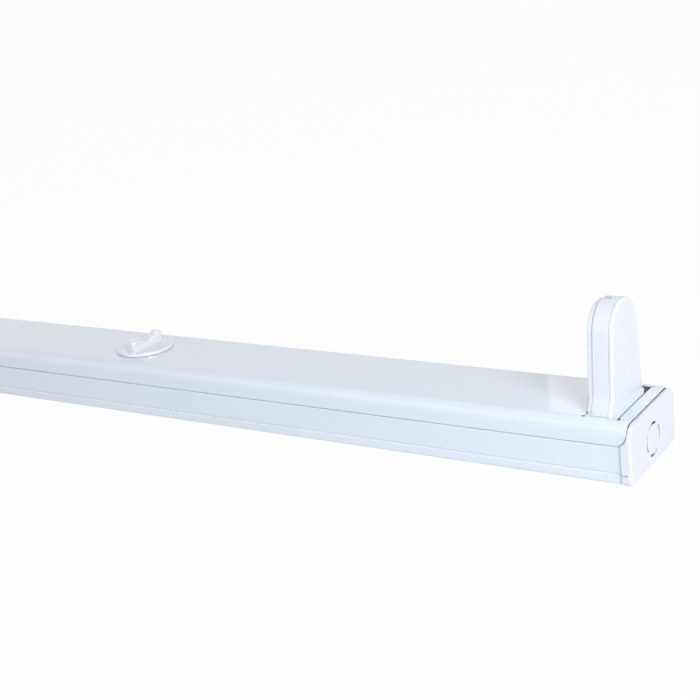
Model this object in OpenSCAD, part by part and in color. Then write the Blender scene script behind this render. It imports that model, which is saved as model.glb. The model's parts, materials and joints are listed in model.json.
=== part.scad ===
// Surface-mounted batten light fitting for one straight two-pin tube lamp.
// The fitting lies on its back: X runs along its length, Z points from the mounting
// face towards the lamp, and the origin is the centre of the mounting face.

/* [Lamp] */
// Length of the lamp between the faces of its two metal caps
lamp_l = 589.8; // [560:0.1:1500]
// Play left for the lamp between the two lampholders
lamp_play = 0.8; // [0.4:0.1:2]
// Height of the lamp's axis above the top of the cover
lamp_rise = 37; // [30:0.5:60]
// Distance between the lamp's two contact pins
pin_pitch = 12.7; // [12:0.1:13.5]
// Diameter of a contact pin
pin_d = 2.35; // [2:0.05:2.6]
// Length of a contact pin
pin_l = 7.1; // [6:0.1:7.4]

/* [Tray and cover] */
// Width of the tray and of the cover
body_w = 56; // [52:0.5:80]
// Height from the mounting face to the top of the cover
body_h = 31; // [30:0.5:50]
// Thickness of the painted steel sheet
sheet_t = 0.8; // [0.6:0.1:1.2]
// Height of the cover's sides, from the joint line with the tray to the cover's top
cover_h = 11.3; // [11:0.1:14]
// Height of the crease pressed along the tray's side walls
crease_z = 5.4; // [4:0.1:9]
// Depth of that crease
crease_d = 0.7; // [0.3:0.1:1]
// Outside radius of the tray's bottom bends
tray_bend_r = 1.4; // [1:0.1:2]
// Outside radius of the cover's long bends
cover_bend_r = 6; // [3:0.5:6.5]
// Radius of the lower corners at the ends of the cover's skirts
cover_corner_r = 6.5; // [1:0.5:7]
// Gap between the tray's wall and the cover's skirt
cover_gap = 0.3; // [0.2:0.1:0.5]
// How far the tray's wall runs up inside the cover
wall_lap = 5.5; // [3:0.5:6]
// How far the cover stops short of the outer faces of the end caps
cover_setback = 2.3; // [2.3:0.1:4]

/* [End caps] */
// Thickness of the end plate
cap_t = 2; // [1.2:0.1:2]
// How far the end cap stands proud of the tray's sides
cap_proud = 1; // [0.8:0.1:2]
// How far the end cap's rim reaches along the tray, over its sides
cap_rim_l = 5.2; // [5:0.1:10]
// How far the end plate stops short of the top of the cover
cap_drop = 1.2; // [1:0.1:1.6]
// Radius of the end plate's upper corners
cap_corner_r = 7; // [4:0.5:8]
// Diameter of the knockout in the end plate
knockout_d = 17.5; // [12:0.5:18]
// Height of the knockout's centre
knockout_z = 12.8; // [10:0.1:16]

/* [Lampholders] */
// Width of a lampholder where it leaves the cover
holder_w = 38; // [32:0.5:38.5]
// Thickness of a lampholder along the lamp
holder_t = 13; // [12.5:0.1:18]
// Radius of the arch over the lamp's axis
holder_r = 15.3; // [13:0.1:16]
// Distance from a lampholder's outer face to the end of the fitting
holder_margin = 11.7; // [11:0.1:20]
// Wall of the lampholder's moulding
holder_wall = 1.6; // [1.2:0.1:2]
// Thickness of the lampholder's back plate
holder_back_t = 2.3; // [2:0.1:2.6]
// Radius of the turning rotor in the lampholder's face
rotor_r = 8.6; // [8.4:0.1:9]
// Depth of the bracket shelf that carries a lampholder below the top of the cover
shelf_drop = 7; // [5:0.5:8]

/* [Cover knob] */
// Diameter of the knob's round base
knob_d = 35; // [29:1:38]
// Height of the knob's wing above the cover
knob_h = 8; // [7:0.5:16]
// Diameter of the knob's shaft
shaft_d = 10; // [8:0.5:11]
// Length of the tongue that locks under the bridge
tongue_l = 22; // [20:0.5:24]

/* [Gear and wiring] */
// Length of the ballast's case
ballast_l = 104; // [90:1:110]
// Width of the ballast's case
ballast_w = 30; // [26:1:32]
// Height of the ballast's case
ballast_h = 20; // [16:0.5:22]
// Distance between the two mounting slots
slot_pitch = 350; // [340:5:400]
// Width of a mounting slot
slot_w = 5; // [4:0.1:6]
// Length of a mounting slot
slot_l = 14; // [10:1:16]
// Diameter of the opening that the grommet leaves for the supply cable
cable_d = 10; // [8:0.5:12]
// Diameter of an insulated wire
wire_d = 1.8; // [1.4:0.1:2]

/* [Hidden] */
$fn = 48;

// Clearance of pieces that slide or turn in each other, and of pieces pushed together
run = 0.1;
push = 0.05;
// Gap under a piece that is laid on another without touching it
lay = 0.2;
// A cut runs this far past the face it opens
past = 1;

face_x = lamp_l / 2 + lamp_play / 2;
end_x = face_x + holder_t + holder_margin;
lamp_z = body_h + lamp_rise;
half_w = body_w / 2;
joint_z = body_h - cover_h;
cap_h = body_h - cap_drop;
shelf_z = body_h - shelf_drop;
cover_end_x = end_x - cover_setback;
tray_end_x = end_x - cap_t - lay;
joggle = sheet_t + cover_gap;
wall_in = half_w - joggle - sheet_t;
wall_top_z = joint_z + wall_lap;
cover_under_z = body_h - sheet_t;
crease_h = 2 * crease_d;

// Slits round the knockout
slit_w = 0.7;
slit_sweep = 68;
slit_turn = 3;

// Raised seats pressed up from the tray's floor, so that no fastener passes the back
seat_h = 2.4;
seat_z = seat_h + sheet_t;

// Lampholder, measured outwards from its inner face
body_end = holder_t - holder_back_t;
bezel_t = 2.7;
bezel_step = 1.2;
front_wall = 2.8;
entry_w = pin_d + 0.9;
pin_room = pin_l + 0.4;
foot_gap = 0.3;
slot_near = 0.8;
slot_far = holder_t + 3.7;
slot_y = half_w - cover_bend_r;
slot_relief_r = 0.9;
foot_top_z = body_h - lay;
foot_back_y = slot_y - 2.7;
foot_flange_t = 1.2;
foot_flange_far = slot_far - 1.3;
foot_slant_x = 0.3;
foot_slant_y = 6;
foot_solid_h = 5;
peg_l = 3.8;
peg_r = 1;
peg_y = 11.5;
peg_z = foot_top_z + 2.6;
plug_near = 3.2;
plug_far = 9.2;
plug_y = 10;
plug_drop = 4;
barb = 0.8;
bracket_t = 1;
shelf_near = 3.3;
shelf_far = slot_far - 1;
shelf_y = 18;
bracket_foot = 12;
bracket_window_y = 11;
bracket_window_top = shelf_z - 8;
bracket_sill = 0.6;
plug_play = 0.15;

// Rotor and contact blades, measured outwards from the lampholder's inner face
flange_t = 1;
flange_r = rotor_r + 1;
drum_r = pin_pitch / 2 + pin_d / 2 - 0.3;
drum_end = pin_room + 1.6;
journal_r = 2.5;
journal_end = holder_t - 1.5;
boss_r = 5.5;
blade_t = 0.4;
blade_y = pin_pitch / 2 + pin_d / 2 + 0.1;
blade_near = 4.2;
blade_far = 8.2;
blade_low_z = shelf_z + 0.6;
blade_top_z = lamp_z + 5;
blade_lip = 1.8;
blade_x = (blade_near + blade_far) / 2;
blade_mid_y = blade_y + blade_t / 2;
wire_hole_r = wire_d / 2 + 0.15;

// Knob, bridge and retaining washer
bridge_top_z = cover_under_z - lay;
bridge_half_x = 20;
bridge_foot = 10;
bridge_half_y = 15;
bridge_hole_r = 7.8;
tongue_w = 5;
tongue_t = 2.5;
tongue_swing = 32;
tongue_room = 0.5;
neck_r = shaft_d / 2 - 0.6;
base_t = 2;
base_z = body_h + 0.15;
dish_z = base_z + base_t - 0.8;
dish_rim = 1.6;
washer_t = 0.7;
washer_r = 7;
wing_l = 26;
wing_w = 6;
wing_round_r = 2.2;
wing_dip = 3.2;
wing_slope_y = 5;
wing_slope_drop = 2.6;

// Screws
screw_r = 1.5;
screw_head_r = 3;
screw_head_h = 2;
screw_tip_z = 0.6;
screw_slot_w = 0.8;
screw_slot_d = 0.8;

// Gear tray
ballast_x = -103;
ballast_flange = 9;
ballast_sheet = 0.6;
ballast_floor_z = seat_z + sheet_t;
strip_y = 12;
strip_low_z = 9;
strip_h = 8;
strip_out = 2;
strip_in = 5;
strip_right_y = [-7, -3, 3, 7];
strip_left_y = [-4, 4];
block_x = 72;
block_l = 20;
block_y = 14.2;
block_h = 12;
block_top_z = seat_z + block_h;
web_l = 14;
web_top_z = block_top_z - 3;
web_screw_z = web_top_z - screw_head_h;
clamp_x = 5;
clamp_r = 1.8;
pole_w = 7.2;
pole_r = 1.3;
pole_pitch = 9.5;
pole_z = seat_z + 4.5;
entry_x = 115;
entry_r = cable_d / 2 + 4;
entry_seat_r = entry_r + 6;
earth_x = 94;
earth_y = -15;
lug_t = 0.8;
lug_r = 3.4;
lug_w = 2.8;
lug_l = 4.6;
lug_turn = 137;
rivet_r = 1.5;
rivet_head_r = 2.8;
rivet_head_h = 0.9;
rivet_x = bridge_half_x + bridge_foot / 2 + bracket_t / 2;
rivet_y = 9;
holder_rivet_x = face_x - shelf_near - bracket_foot / 2;

// Places where wires enter their terminals
wire_dip = 3;
strip_wire_z = strip_low_z + strip_h / 2;
holder_wire_x = face_x + blade_x;

// Straight ends of the wires: in a pole of the terminal block, in a strip, up into a lampholder
lead = 4;
lead_mid = 5;
lead_low = 9;
function from_block(side, y) = [
    for (x = [block_l / 2 - wire_dip, block_l / 2 + 1, block_l / 2 + lead]) [block_x + side * x, y, pole_z]
];
function into_strip(side, y) = [
    for (x = [lead, 1, -wire_dip]) [ballast_x + side * (ballast_l / 2 + strip_out + x), y, strip_wire_z]
];
function into_holder(side, y) = [
    for (z = [lead_low, lead_mid, 0]) [side * holder_wire_x, y, blade_low_z - z]
];

// Routes of the wires, by hand, along two lanes beside each of the tray's walls
lane_z = sheet_t + wire_d / 2 + 0.4;
lane_out = half_w - 4;
lane_in = lane_out - wire_d - 1;
near_bracket = face_x - shelf_near;
live_route = concat(from_block(-1, pole_pitch), [
    [52, 13, 6], [46, 19.4, 3.4], [36, lane_out - 0.3, lane_z], [20, lane_out, lane_z],
    [0, lane_out, lane_z], [-20, lane_out, lane_z], [-31, 20.4, 4], [-38, 12, 9]
], into_strip(1, strip_right_y[3]));
neutral_route = concat(from_block(-1, 0), [
    [53, 3.4, 6.4], [46, 11.6, 4], [38, 18.8, lane_z], [28, lane_in, lane_z], [0, lane_in, lane_z],
    [-22, lane_in, lane_z], [-31, 15.2, 5], [-38, 6, 11]
], into_strip(1, strip_right_y[2]));
earth_route = concat(from_block(1, -pole_pitch), [
    [88, -10, 6.4], [90, -11.4, seat_z + lug_t + wire_d / 2]
]);
right_route_a = concat(reversed(into_strip(1, strip_right_y[0])), [
    [-38, -12, 9], [-31, -20.4, 4], [-20, -lane_out, lane_z], [-6, -lane_out, lane_z],
    [60, -lane_out, lane_z], [140, -lane_out, lane_z], [220, -lane_out, lane_z],
    [near_bracket - 24, 1 - lane_out, lane_z],
    [near_bracket - 12, -15.4, 4], [near_bracket, -9.4, 7], [near_bracket + 6, -8, 10.6]
], into_holder(1, -blade_mid_y));
right_route_b = concat(reversed(into_strip(1, strip_right_y[1])), [
    [-38, -6, 11], [-31, -14, 6], [-22, -lane_in, lane_z], [-8, -lane_in, lane_z],
    [60, -lane_in, lane_z], [76, -lane_out, 5.4], [108, -lane_out, 5.4], [126, -lane_in, lane_z],
    [220, -lane_in, lane_z],
    [near_bracket - 30, 1 - lane_in, lane_z], [near_bracket - 14, -6, 4.4], [near_bracket, 4, 7],
    [near_bracket + 6, 7.4, 10.6]
], into_holder(1, blade_mid_y));
left_route_a = concat(reversed(into_strip(-1, strip_left_y[1])), [
    [-168, 8, 8], [-178, 16, 4], [-192, lane_in, lane_z], [-230, lane_in, lane_z],
    [30 - near_bracket, lane_in - 1, lane_z], [14 - near_bracket, 13.4, 4.4], [-near_bracket, 9, 7],
    [-near_bracket - 6, 8, 10.6]
], into_holder(-1, blade_mid_y));
left_route_b = concat(reversed(into_strip(-1, strip_left_y[0])), [
    [-168, -8, 8], [-178, -16, 4], [-192, -lane_in, lane_z], [-230, -lane_in, lane_z],
    [30 - near_bracket, 1 - lane_in, lane_z], [14 - near_bracket, -13.4, 4.4], [-near_bracket, -9, 7],
    [-near_bracket - 6, -8, 10.6]
], into_holder(-1, -blade_mid_y));

// Sheet sections: an outside line is given its thickness on its left side
function unit(v) = v / norm(v);
function left_of(v) = [-v[1], v[0]];
function side_at(path, i) = left_of(unit(path[i + 1] - path[i]));
function mitre(a, b) = (a + b) / (1 + a * b);
function inside_of(path, t) = [
    for (i = [0 : len(path) - 1])
        let (last = len(path) - 1)
        let (before = side_at(path, max(i - 1, 0)))
        let (after = side_at(path, min(i, last - 1)))
        path[i] + t * mitre(before, after)
];
function reversed(list) = [for (i = [len(list) - 1 : -1 : 0]) list[i]];
function arc(centre, r, from, to, steps) = [
    for (i = [0 : steps])
        let (turn = from + (to - from) * i / steps)
        centre + r * [cos(turn), sin(turn)]
];
function mirrored(path) = [for (p = reversed(path)) [-p[0], p[1]]];

// Tubes along a route: a smooth curve through its points, with level rings carried along it
function spline(a, b, c, d, t) = 0.5 * (2 * b + (c - a) * t + (2 * a - 5 * b + 4 * c - d) * t * t
    + (3 * b - a - 3 * c + d) * t * t * t);
function smooth(route, steps) = concat([
    for (i = [0 : len(route) - 2], k = [0 : steps - 1])
        spline(route[max(i - 1, 0)], route[i], route[i + 1], route[min(i + 2, len(route) - 1)], k / steps)
], [route[len(route) - 1]]);
function heading(line, i) = unit(line[min(i + 1, len(line) - 1)] - line[max(i - 1, 0)]);
function carry(line, across, i) =
    i == len(line) ? [] :
    let (ahead = heading(line, i))
    let (level = unit(across - (across * ahead) * ahead))
    concat([level], carry(line, level, i + 1));

module sheet_section(path, t) {
    polygon(concat(path, reversed(inside_of(path, t))));
}

module along_x(from, to) {
    translate([from, 0, 0])
        rotate([90, 0, 90])
            linear_extrude(to - from) children();
}

module along_y(from, to) {
    translate([0, to, 0])
        rotate([90, 0, 0])
            linear_extrude(to - from) children();
}

module block(low, high) {
    translate(low) cube(high - low);
}

module rod_x(from, to, y, z, r) {
    translate([from, y, z])
        rotate([0, 90, 0])
            cylinder(h = to - from, r = r);
}

module rod_z(x, y, from, to, r) {
    translate([x, y, from]) cylinder(h = to - from, r = r);
}

module wire(route) {
    line = smooth(route, 3);
    sides = 8;
    levels = carry(line, [0, 0.6, 0.8], 0);
    rings = [
        for (i = [0 : len(line) - 1], k = [0 : sides - 1])
            let (turn = 360 * k / sides)
            line[i] + wire_d / 2 * (cos(turn) * levels[i] + sin(turn) * cross(heading(line, i), levels[i]))
    ];
    walls = [
        for (i = [0 : len(line) - 2], k = [0 : sides - 1])
            let (next = (k + 1) % sides)
            [i * sides + k, (i + 1) * sides + k, (i + 1) * sides + next, i * sides + next]
    ];
    start = [for (k = [0 : sides - 1]) k];
    finish = [for (k = [sides - 1 : -1 : 0]) (len(line) - 1) * sides + k];
    polyhedron(points = rings, faces = concat([start, finish], walls), convexity = 4);
}

// The fitting is the same from both ends: what is made for the right end is turned to the left
module at_end(side) {
    rotate([0, 0, side > 0 ? 0 : 180]) children();
}

// A flat seat pressed up from the floor: its outside, and the hollow underneath it
module seat_outside(s) {
    block([s[0] - s[2] / 2, s[1] - s[3] / 2, 0], [s[0] + s[2] / 2, s[1] + s[3] / 2, seat_z]);
}

module seat_hollow(s) {
    block(
        [s[0] - s[2] / 2 + sheet_t, s[1] - s[3] / 2 + sheet_t, -past],
        [s[0] + s[2] / 2 - sheet_t, s[1] + s[3] / 2 - sheet_t, seat_h]
    );
}

// A cross-head screw whose tip stops inside the hollow of its seat
module screw(x, y, seat) {
    top = seat + screw_head_h;
    rod_z(x, y, screw_tip_z, seat, screw_r);
    difference() {
        rod_z(x, y, seat, top, screw_head_r);
        translate([x, y, 0])
            for (turn = [0, 90])
                rotate([0, 0, turn])
                    block(
                        [-screw_head_r - past, -screw_slot_w / 2, top - screw_slot_d],
                        [screw_head_r + past, screw_slot_w / 2, top + past]
                    );
    }
}

module slot_hole(x) {
    for (s = [-1, 1])
        rod_z(x + s * (slot_l - slot_w) / 2, 0, -past, seat_z, slot_w / 2);
    block([x - (slot_l - slot_w) / 2, -slot_w / 2, -past], [x + (slot_l - slot_w) / 2, slot_w / 2, seat_z]);
}

// Right half of the tray's outside line, from the middle of its back to the top of its wall
tray_half = concat(
    [[0, 0]],
    arc([half_w - tray_bend_r, tray_bend_r], tray_bend_r, -90, 0, 4),
    [
        [half_w, crease_z - crease_h / 2],
        [half_w - crease_d, crease_z],
        [half_w, crease_z + crease_h / 2],
        [half_w, joint_z - joggle],
        [half_w - joggle, joint_z],
        [half_w - joggle, wall_top_z]
    ]
);
tray_line = concat(mirrored([for (i = [1 : len(tray_half) - 1]) tray_half[i]]), tray_half);

// Outside line of the cover, from its back skirt over the top to its front skirt
cover_line = concat(
    [[half_w, joint_z]],
    arc([half_w - cover_bend_r, body_h - cover_bend_r], cover_bend_r, 0, 90, 8),
    arc([cover_bend_r - half_w, body_h - cover_bend_r], cover_bend_r, 90, 180, 8),
    [[-half_w, joint_z]]
);

// Each seat's centre, length and width
seats = [
    [ballast_x - ballast_l / 2 - ballast_flange / 2, 0, 10, 16],
    [ballast_x + ballast_l / 2 + ballast_flange / 2, 0, 10, 16],
    [block_x, 0, 12, 24],
    [earth_x, earth_y, 9, 9]
];
floor_screws = [
    [ballast_x - ballast_l / 2 - ballast_flange / 2, 0],
    [ballast_x + ballast_l / 2 + ballast_flange / 2, 0],
    [block_x, -pole_pitch / 2],
    [block_x, pole_pitch / 2],
    [earth_x, earth_y]
];
bridge_rivets = [for (sx = [-1, 1], sy = [-1, 1]) [sx * rivet_x, sy * rivet_y]];
holder_rivets = [for (sx = [-1, 1], sy = [-1, 1]) [sx * holder_rivet_x, sy * rivet_y]];

// End cap snap: a nib on the cap's side tongue drops into a window in the tray's wall
snap_far = 14;
snap_lip = 1;
nib_far = 13;
nib_near = 10;
nib_low_z = joint_z + 1.6;
nib_top_z = nib_low_z + 2.6;

module base_channel() {
    color("#e9edf5")
    difference() {
        union() {
            along_x(-tray_end_x, tray_end_x) sheet_section(tray_line, sheet_t);
            for (s = seats) seat_outside(s);
            rod_z(entry_x, 0, 0, seat_z, entry_seat_r);
        }
        for (s = seats) seat_hollow(s);
        rod_z(entry_x, 0, -past, seat_h, entry_seat_r - sheet_t);
        rod_z(entry_x, 0, -past, seat_z + past, entry_r);
        for (s = floor_screws) rod_z(s[0], s[1], -past, seat_z + past, screw_r + push);
        for (s = concat(bridge_rivets, holder_rivets))
            rod_z(s[0], s[1], -past, sheet_t + past, rivet_r + push);
        for (side = [-1, 1]) slot_hole(side * slot_pitch / 2);
        for (side = [-1, 1], sy = [-1, 1])
            at_end(side)
                block(
                    [end_x - nib_far - cover_gap, sy > 0 ? wall_in - past : -half_w, nib_low_z - cover_gap],
                    [end_x - nib_near + cover_gap, sy > 0 ? half_w : past - wall_in, nib_top_z + cover_gap]
                );
    }
}

module cable_grommet() {
    flange = 2.4;
    low_z = seat_h - 1.2;
    top_z = seat_z + 2;
    color("#3c3f45")
    difference() {
        union() {
            rod_z(entry_x, 0, low_z, seat_h, entry_r + flange);
            rod_z(entry_x, 0, low_z, top_z, entry_r - push);
            rod_z(entry_x, 0, seat_z, top_z, entry_r + flange);
        }
        rod_z(entry_x, 0, low_z - past, top_z + past, cable_d / 2);
    }
}

module cap_outline(half, low, high, r) {
    for (sy = [-1, 1])
        translate([sy * (half - r), high - r]) circle(r);
    translate([-half, low]) square([2 * half, high - r - low]);
    translate([r - half, low]) square([2 * (half - r), high - low]);
}

// One slit of the knockout's ring, centred the given turn from straight down
module knockout_slit(turn, sweep) {
    translate([end_x - cap_t - past, 0, knockout_z])
        rotate([0, 90, 0])
            rotate([0, 0, turn - sweep / 2])
                rotate_extrude(angle = sweep)
                    translate([(knockout_d - slit_w) / 2, 0]) square([slit_w, cap_t + 2 * past]);
}

// The cover's end seen from its side, with its rounded lower corner, grown by a gap
module skirt_end(gap) {
    high = body_h + past;
    round_x = cover_end_x - cover_corner_r;
    round_z = joint_z + cover_corner_r;
    translate([round_x, round_z]) circle(cover_corner_r + gap);
    translate([0, joint_z - gap]) square([round_x, high - joint_z + gap]);
    translate([0, round_z]) square([cover_end_x + gap, high - round_z]);
}

module end_cap(side) {
    rim_half = half_w + cap_proud;
    rim_in = half_w + push;
    rim_split = 0.3;
    rim_step = 0.2;
    tongue_t = 1.6;
    ledge_l = 7.5;
    ledge_t = 1.4;
    ledge_inset = 7;
    ledge_half = half_w - ledge_inset;
    ledge_top_z = cover_under_z - 1.6;
    shoulder_gap = 0.5;
    toe_half = 12;
    toe_z = sheet_t + push;
    toe_t = 1.5;
    color("#f4f6fa")
    at_end(side)
    difference() {
        union() {
            along_x(end_x - cap_t, end_x) cap_outline(rim_half, 0, cap_h, cap_corner_r);
            for (sy = [-1, 1])
                mirror([0, sy > 0 ? 0 : 1, 0]) {
                    difference() {
                        intersection() {
                            along_x(end_x - cap_rim_l, end_x - cap_t)
                                cap_outline(rim_half, 0, cap_h, cap_corner_r);
                            block([0, rim_in, crease_z + rim_split], [end_x, rim_half, cap_h]);
                        }
                        along_y(rim_in - past, rim_half + past) skirt_end(shoulder_gap);
                    }
                    block(
                        [end_x - cap_rim_l + rim_step, rim_in, 0],
                        [end_x - cap_t, rim_half, crease_z - rim_split]
                    );
                    block(
                        [end_x - snap_far, wall_in - tongue_t, nib_low_z - snap_lip],
                        [end_x - cap_t, wall_in - push, wall_top_z - lay]
                    );
                    block(
                        [end_x - nib_far, wall_in - push, nib_low_z],
                        [end_x - nib_near, wall_in + sheet_t - run, nib_top_z]
                    );
                }
            block(
                [end_x - ledge_l, -ledge_half, ledge_top_z - ledge_t],
                [end_x - cap_t, ledge_half, ledge_top_z]
            );
            block([end_x - ledge_l, -toe_half, toe_z], [end_x - cap_t, toe_half, toe_z + toe_t]);
        }
        for (k = [0 : 3]) knockout_slit(90 * k - slit_turn, slit_sweep);
    }
}

// Profile of the tray-to-holder bracket: a foot on the floor, up, across as a shelf and down
module holder_bracket(side) {
    near_x = face_x - shelf_near;
    far_x = face_x + shelf_far;
    color("#dfe4ee")
    at_end(side)
    difference() {
        along_y(-shelf_y, shelf_y)
            polygon([
                [near_x - bracket_foot, sheet_t], [near_x + bracket_t, sheet_t],
                [near_x + bracket_t, shelf_z - bracket_t], [far_x - bracket_t, shelf_z - bracket_t],
                [far_x - bracket_t, sheet_t], [far_x, sheet_t],
                [far_x, shelf_z], [near_x, shelf_z],
                [near_x, sheet_t + bracket_t], [near_x - bracket_foot, sheet_t + bracket_t]
            ]);
        block(
            [face_x + plug_near - plug_play, -plug_y - plug_play, shelf_z - bracket_t - past],
            [face_x + plug_far + plug_play, plug_y + plug_play, shelf_z + past]
        );
        block(
            [near_x - past, -bracket_window_y, sheet_t + bracket_t + bracket_sill],
            [near_x + bracket_t + past, bracket_window_y, bracket_window_top]
        );
        for (sy = [-1, 1]) rod_z(holder_rivet_x, sy * rivet_y, 0, sheet_t + bracket_t + past, rivet_r + push);
    }
}

module holder_outline(inset, low_z) {
    translate([0, lamp_z]) circle(holder_r - inset);
    polygon([
        [inset - holder_w / 2, low_z],
        [holder_w / 2 - inset, low_z],
        [holder_r - inset, lamp_z],
        [inset - holder_r, lamp_z]
    ]);
}

module lampholder(side) {
    cavity_low = foot_top_z + foot_solid_h;
    foot_low = [foot_gap - slot_near, foot_gap - slot_y, shelf_z];
    color("#f1f4fa")
    at_end(side)
    translate([face_x, 0, 0])
    difference() {
        union() {
            along_x(0, bezel_t) holder_outline(bezel_step, foot_top_z);
            along_x(bezel_t, body_end) holder_outline(0, foot_top_z);
            block(foot_low, [holder_t, foot_back_y, foot_top_z]);
            translate([0, 0, foot_top_z - foot_flange_t])
                linear_extrude(foot_flange_t)
                    polygon([
                        [body_end, foot_low[1]], [foot_flange_far, foot_low[1]],
                        [foot_flange_far, foot_back_y - foot_slant_y],
                        [holder_t + foot_slant_x, foot_back_y], [body_end, foot_back_y]
                    ]);
            block([plug_near, -plug_y, shelf_z - plug_drop], [plug_far, plug_y, shelf_z]);
            for (s = [-1, 1])
                block(
                    [s < 0 ? plug_near - barb : plug_far, -plug_y + 2, shelf_z - plug_drop],
                    [s < 0 ? plug_near : plug_far + barb, plug_y - 2, shelf_z - bracket_t - push]
                );
        }
        along_x(front_wall, body_end + past) holder_outline(holder_wall, cavity_low);
        rod_x(-past, front_wall + past, 0, lamp_z, rotor_r + run);
        block([-past, -entry_w / 2, lamp_z], [pin_room, entry_w / 2, lamp_z + holder_r + past]);
        for (sy = [0, 1])
            mirror([0, sy, 0]) {
                block(
                    [blade_near - push, blade_y - push, shelf_z],
                    [blade_far + push, blade_y + blade_t + push, cavity_low + past]
                );
                rod_z(blade_x, blade_mid_y, shelf_z - plug_drop - past, blade_low_z, wire_hole_r);
                rod_x(body_end - peg_l - lay, body_end + past, peg_y, peg_z, peg_r + push);
            }
    }
}

module holder_back(side) {
    boss_near = drum_end + run;
    color("#f6f8fc")
    at_end(side)
    translate([face_x, 0, 0])
    difference() {
        union() {
            along_x(body_end, holder_t) holder_outline(0, foot_top_z);
            rod_x(boss_near, body_end, 0, lamp_z, boss_r);
            for (sy = [-1, 1]) rod_x(body_end - peg_l, body_end, sy * peg_y, peg_z, peg_r);
        }
        rod_x(boss_near - past, journal_end + run, 0, lamp_z, journal_r + push);
    }
}

module contacts(side) {
    color("#c99b4a")
    at_end(side)
    translate([face_x, 0, 0])
        for (sy = [0, 1])
            mirror([0, sy, 0])
                union() {
                    block([blade_near, blade_y, blade_low_z], [blade_far, blade_y + blade_t, blade_top_z]);
                    block(
                        [blade_near, blade_y, blade_top_z],
                        [blade_far, blade_y + blade_lip, blade_top_z + blade_t]
                    );
                }
}

module rotor(side) {
    color("#ffffff")
    at_end(side)
    translate([face_x, 0, 0])
    difference() {
        union() {
            rod_x(0, front_wall + run, 0, lamp_z, rotor_r);
            rod_x(front_wall + run, front_wall + run + flange_t, 0, lamp_z, flange_r);
            rod_x(front_wall, drum_end, 0, lamp_z, drum_r);
            rod_x(drum_end, journal_end, 0, lamp_z, journal_r);
        }
        block(
            [-past, -entry_w / 2, lamp_z - flange_r - past],
            [pin_room, entry_w / 2, lamp_z + flange_r + past]
        );
    }
}

module knob_bridge() {
    low = sheet_t;
    foot_x = bridge_half_x + bridge_foot;
    fan_near = tongue_w / 2 + 2 * tongue_room;
    fan_far = tongue_w / 2 + tongue_l * sin(tongue_swing / 2);
    color("#dfe4ee")
    difference() {
        along_y(-bridge_half_y, bridge_half_y)
            polygon([
                [-foot_x, low], [bracket_t - bridge_half_x, low],
                [bracket_t - bridge_half_x, bridge_top_z - bracket_t],
                [bridge_half_x - bracket_t, bridge_top_z - bracket_t],
                [bridge_half_x - bracket_t, low], [foot_x, low],
                [foot_x, low + bracket_t], [bridge_half_x, low + bracket_t],
                [bridge_half_x, bridge_top_z], [-bridge_half_x, bridge_top_z],
                [-bridge_half_x, low + bracket_t], [-foot_x, low + bracket_t]
            ]);
        rod_z(0, 0, bridge_top_z - bracket_t - past, bridge_top_z + past, bridge_hole_r);
        translate([0, 0, bridge_top_z - bracket_t - past])
            linear_extrude(bracket_t + 2 * past)
                intersection() {
                    circle(tongue_l / 2 + tongue_room);
                    polygon([
                        [0, -fan_near], [tongue_l, -fan_far], [tongue_l, fan_far], [0, fan_near],
                        [-tongue_l, fan_far], [-tongue_l, -fan_far]
                    ]);
                }
        for (s = bridge_rivets) rod_z(s[0], s[1], 0, low + bracket_t + past, rivet_r + push);
    }
}

module tray_rivets() {
    color("#c9ced8")
    for (s = concat(bridge_rivets, holder_rivets)) {
        rod_z(s[0], s[1], push, sheet_t + bracket_t, rivet_r);
        rod_z(s[0], s[1], sheet_t + bracket_t, sheet_t + bracket_t + rivet_head_h, rivet_head_r);
    }
}

module ballast_base() {
    half = ballast_l / 2 + ballast_flange;
    color("#b9bec8")
    difference() {
        block([ballast_x - half, -ballast_w / 2, seat_z], [ballast_x + half, ballast_w / 2, ballast_floor_z]);
        for (i = [0, 1])
            rod_z(
                floor_screws[i][0], floor_screws[i][1],
                seat_z - past, ballast_floor_z + past, screw_r + run
            );
    }
}

module ballast_case() {
    low = ballast_floor_z;
    half = ballast_l / 2;
    wall = ballast_sheet;
    color("#eef0f4")
    difference() {
        block([ballast_x - half, -ballast_w / 2, low], [ballast_x + half, ballast_w / 2, low + ballast_h]);
        block(
            [ballast_x - half + wall, -ballast_w / 2 + wall, low - past],
            [ballast_x + half - wall, ballast_w / 2 - wall, low + ballast_h - wall]
        );
        block(
            [ballast_x - half - past, -strip_y - run, strip_low_z - run],
            [ballast_x + half + past, strip_y + run, strip_low_z + strip_h + run]
        );
    }
}

module ballast_terminals() {
    color("#f7f7f2")
    for (side = [-1, 1])
        translate([ballast_x, 0, 0])
            mirror([side > 0 ? 0 : 1, 0, 0])
                difference() {
                    block(
                        [ballast_l / 2 - strip_in, -strip_y, strip_low_z],
                        [ballast_l / 2 + strip_out, strip_y, strip_low_z + strip_h]
                    );
                    for (y = side > 0 ? strip_right_y : strip_left_y)
                        rod_x(
                            ballast_l / 2 + strip_out - wire_dip, ballast_l / 2 + strip_out + past,
                            y, strip_wire_z, wire_hole_r
                        );
                }
}

module ballast_screws() {
    color("#d8dbe0")
    for (i = [0, 1]) screw(floor_screws[i][0], floor_screws[i][1], ballast_floor_z);
}

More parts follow.
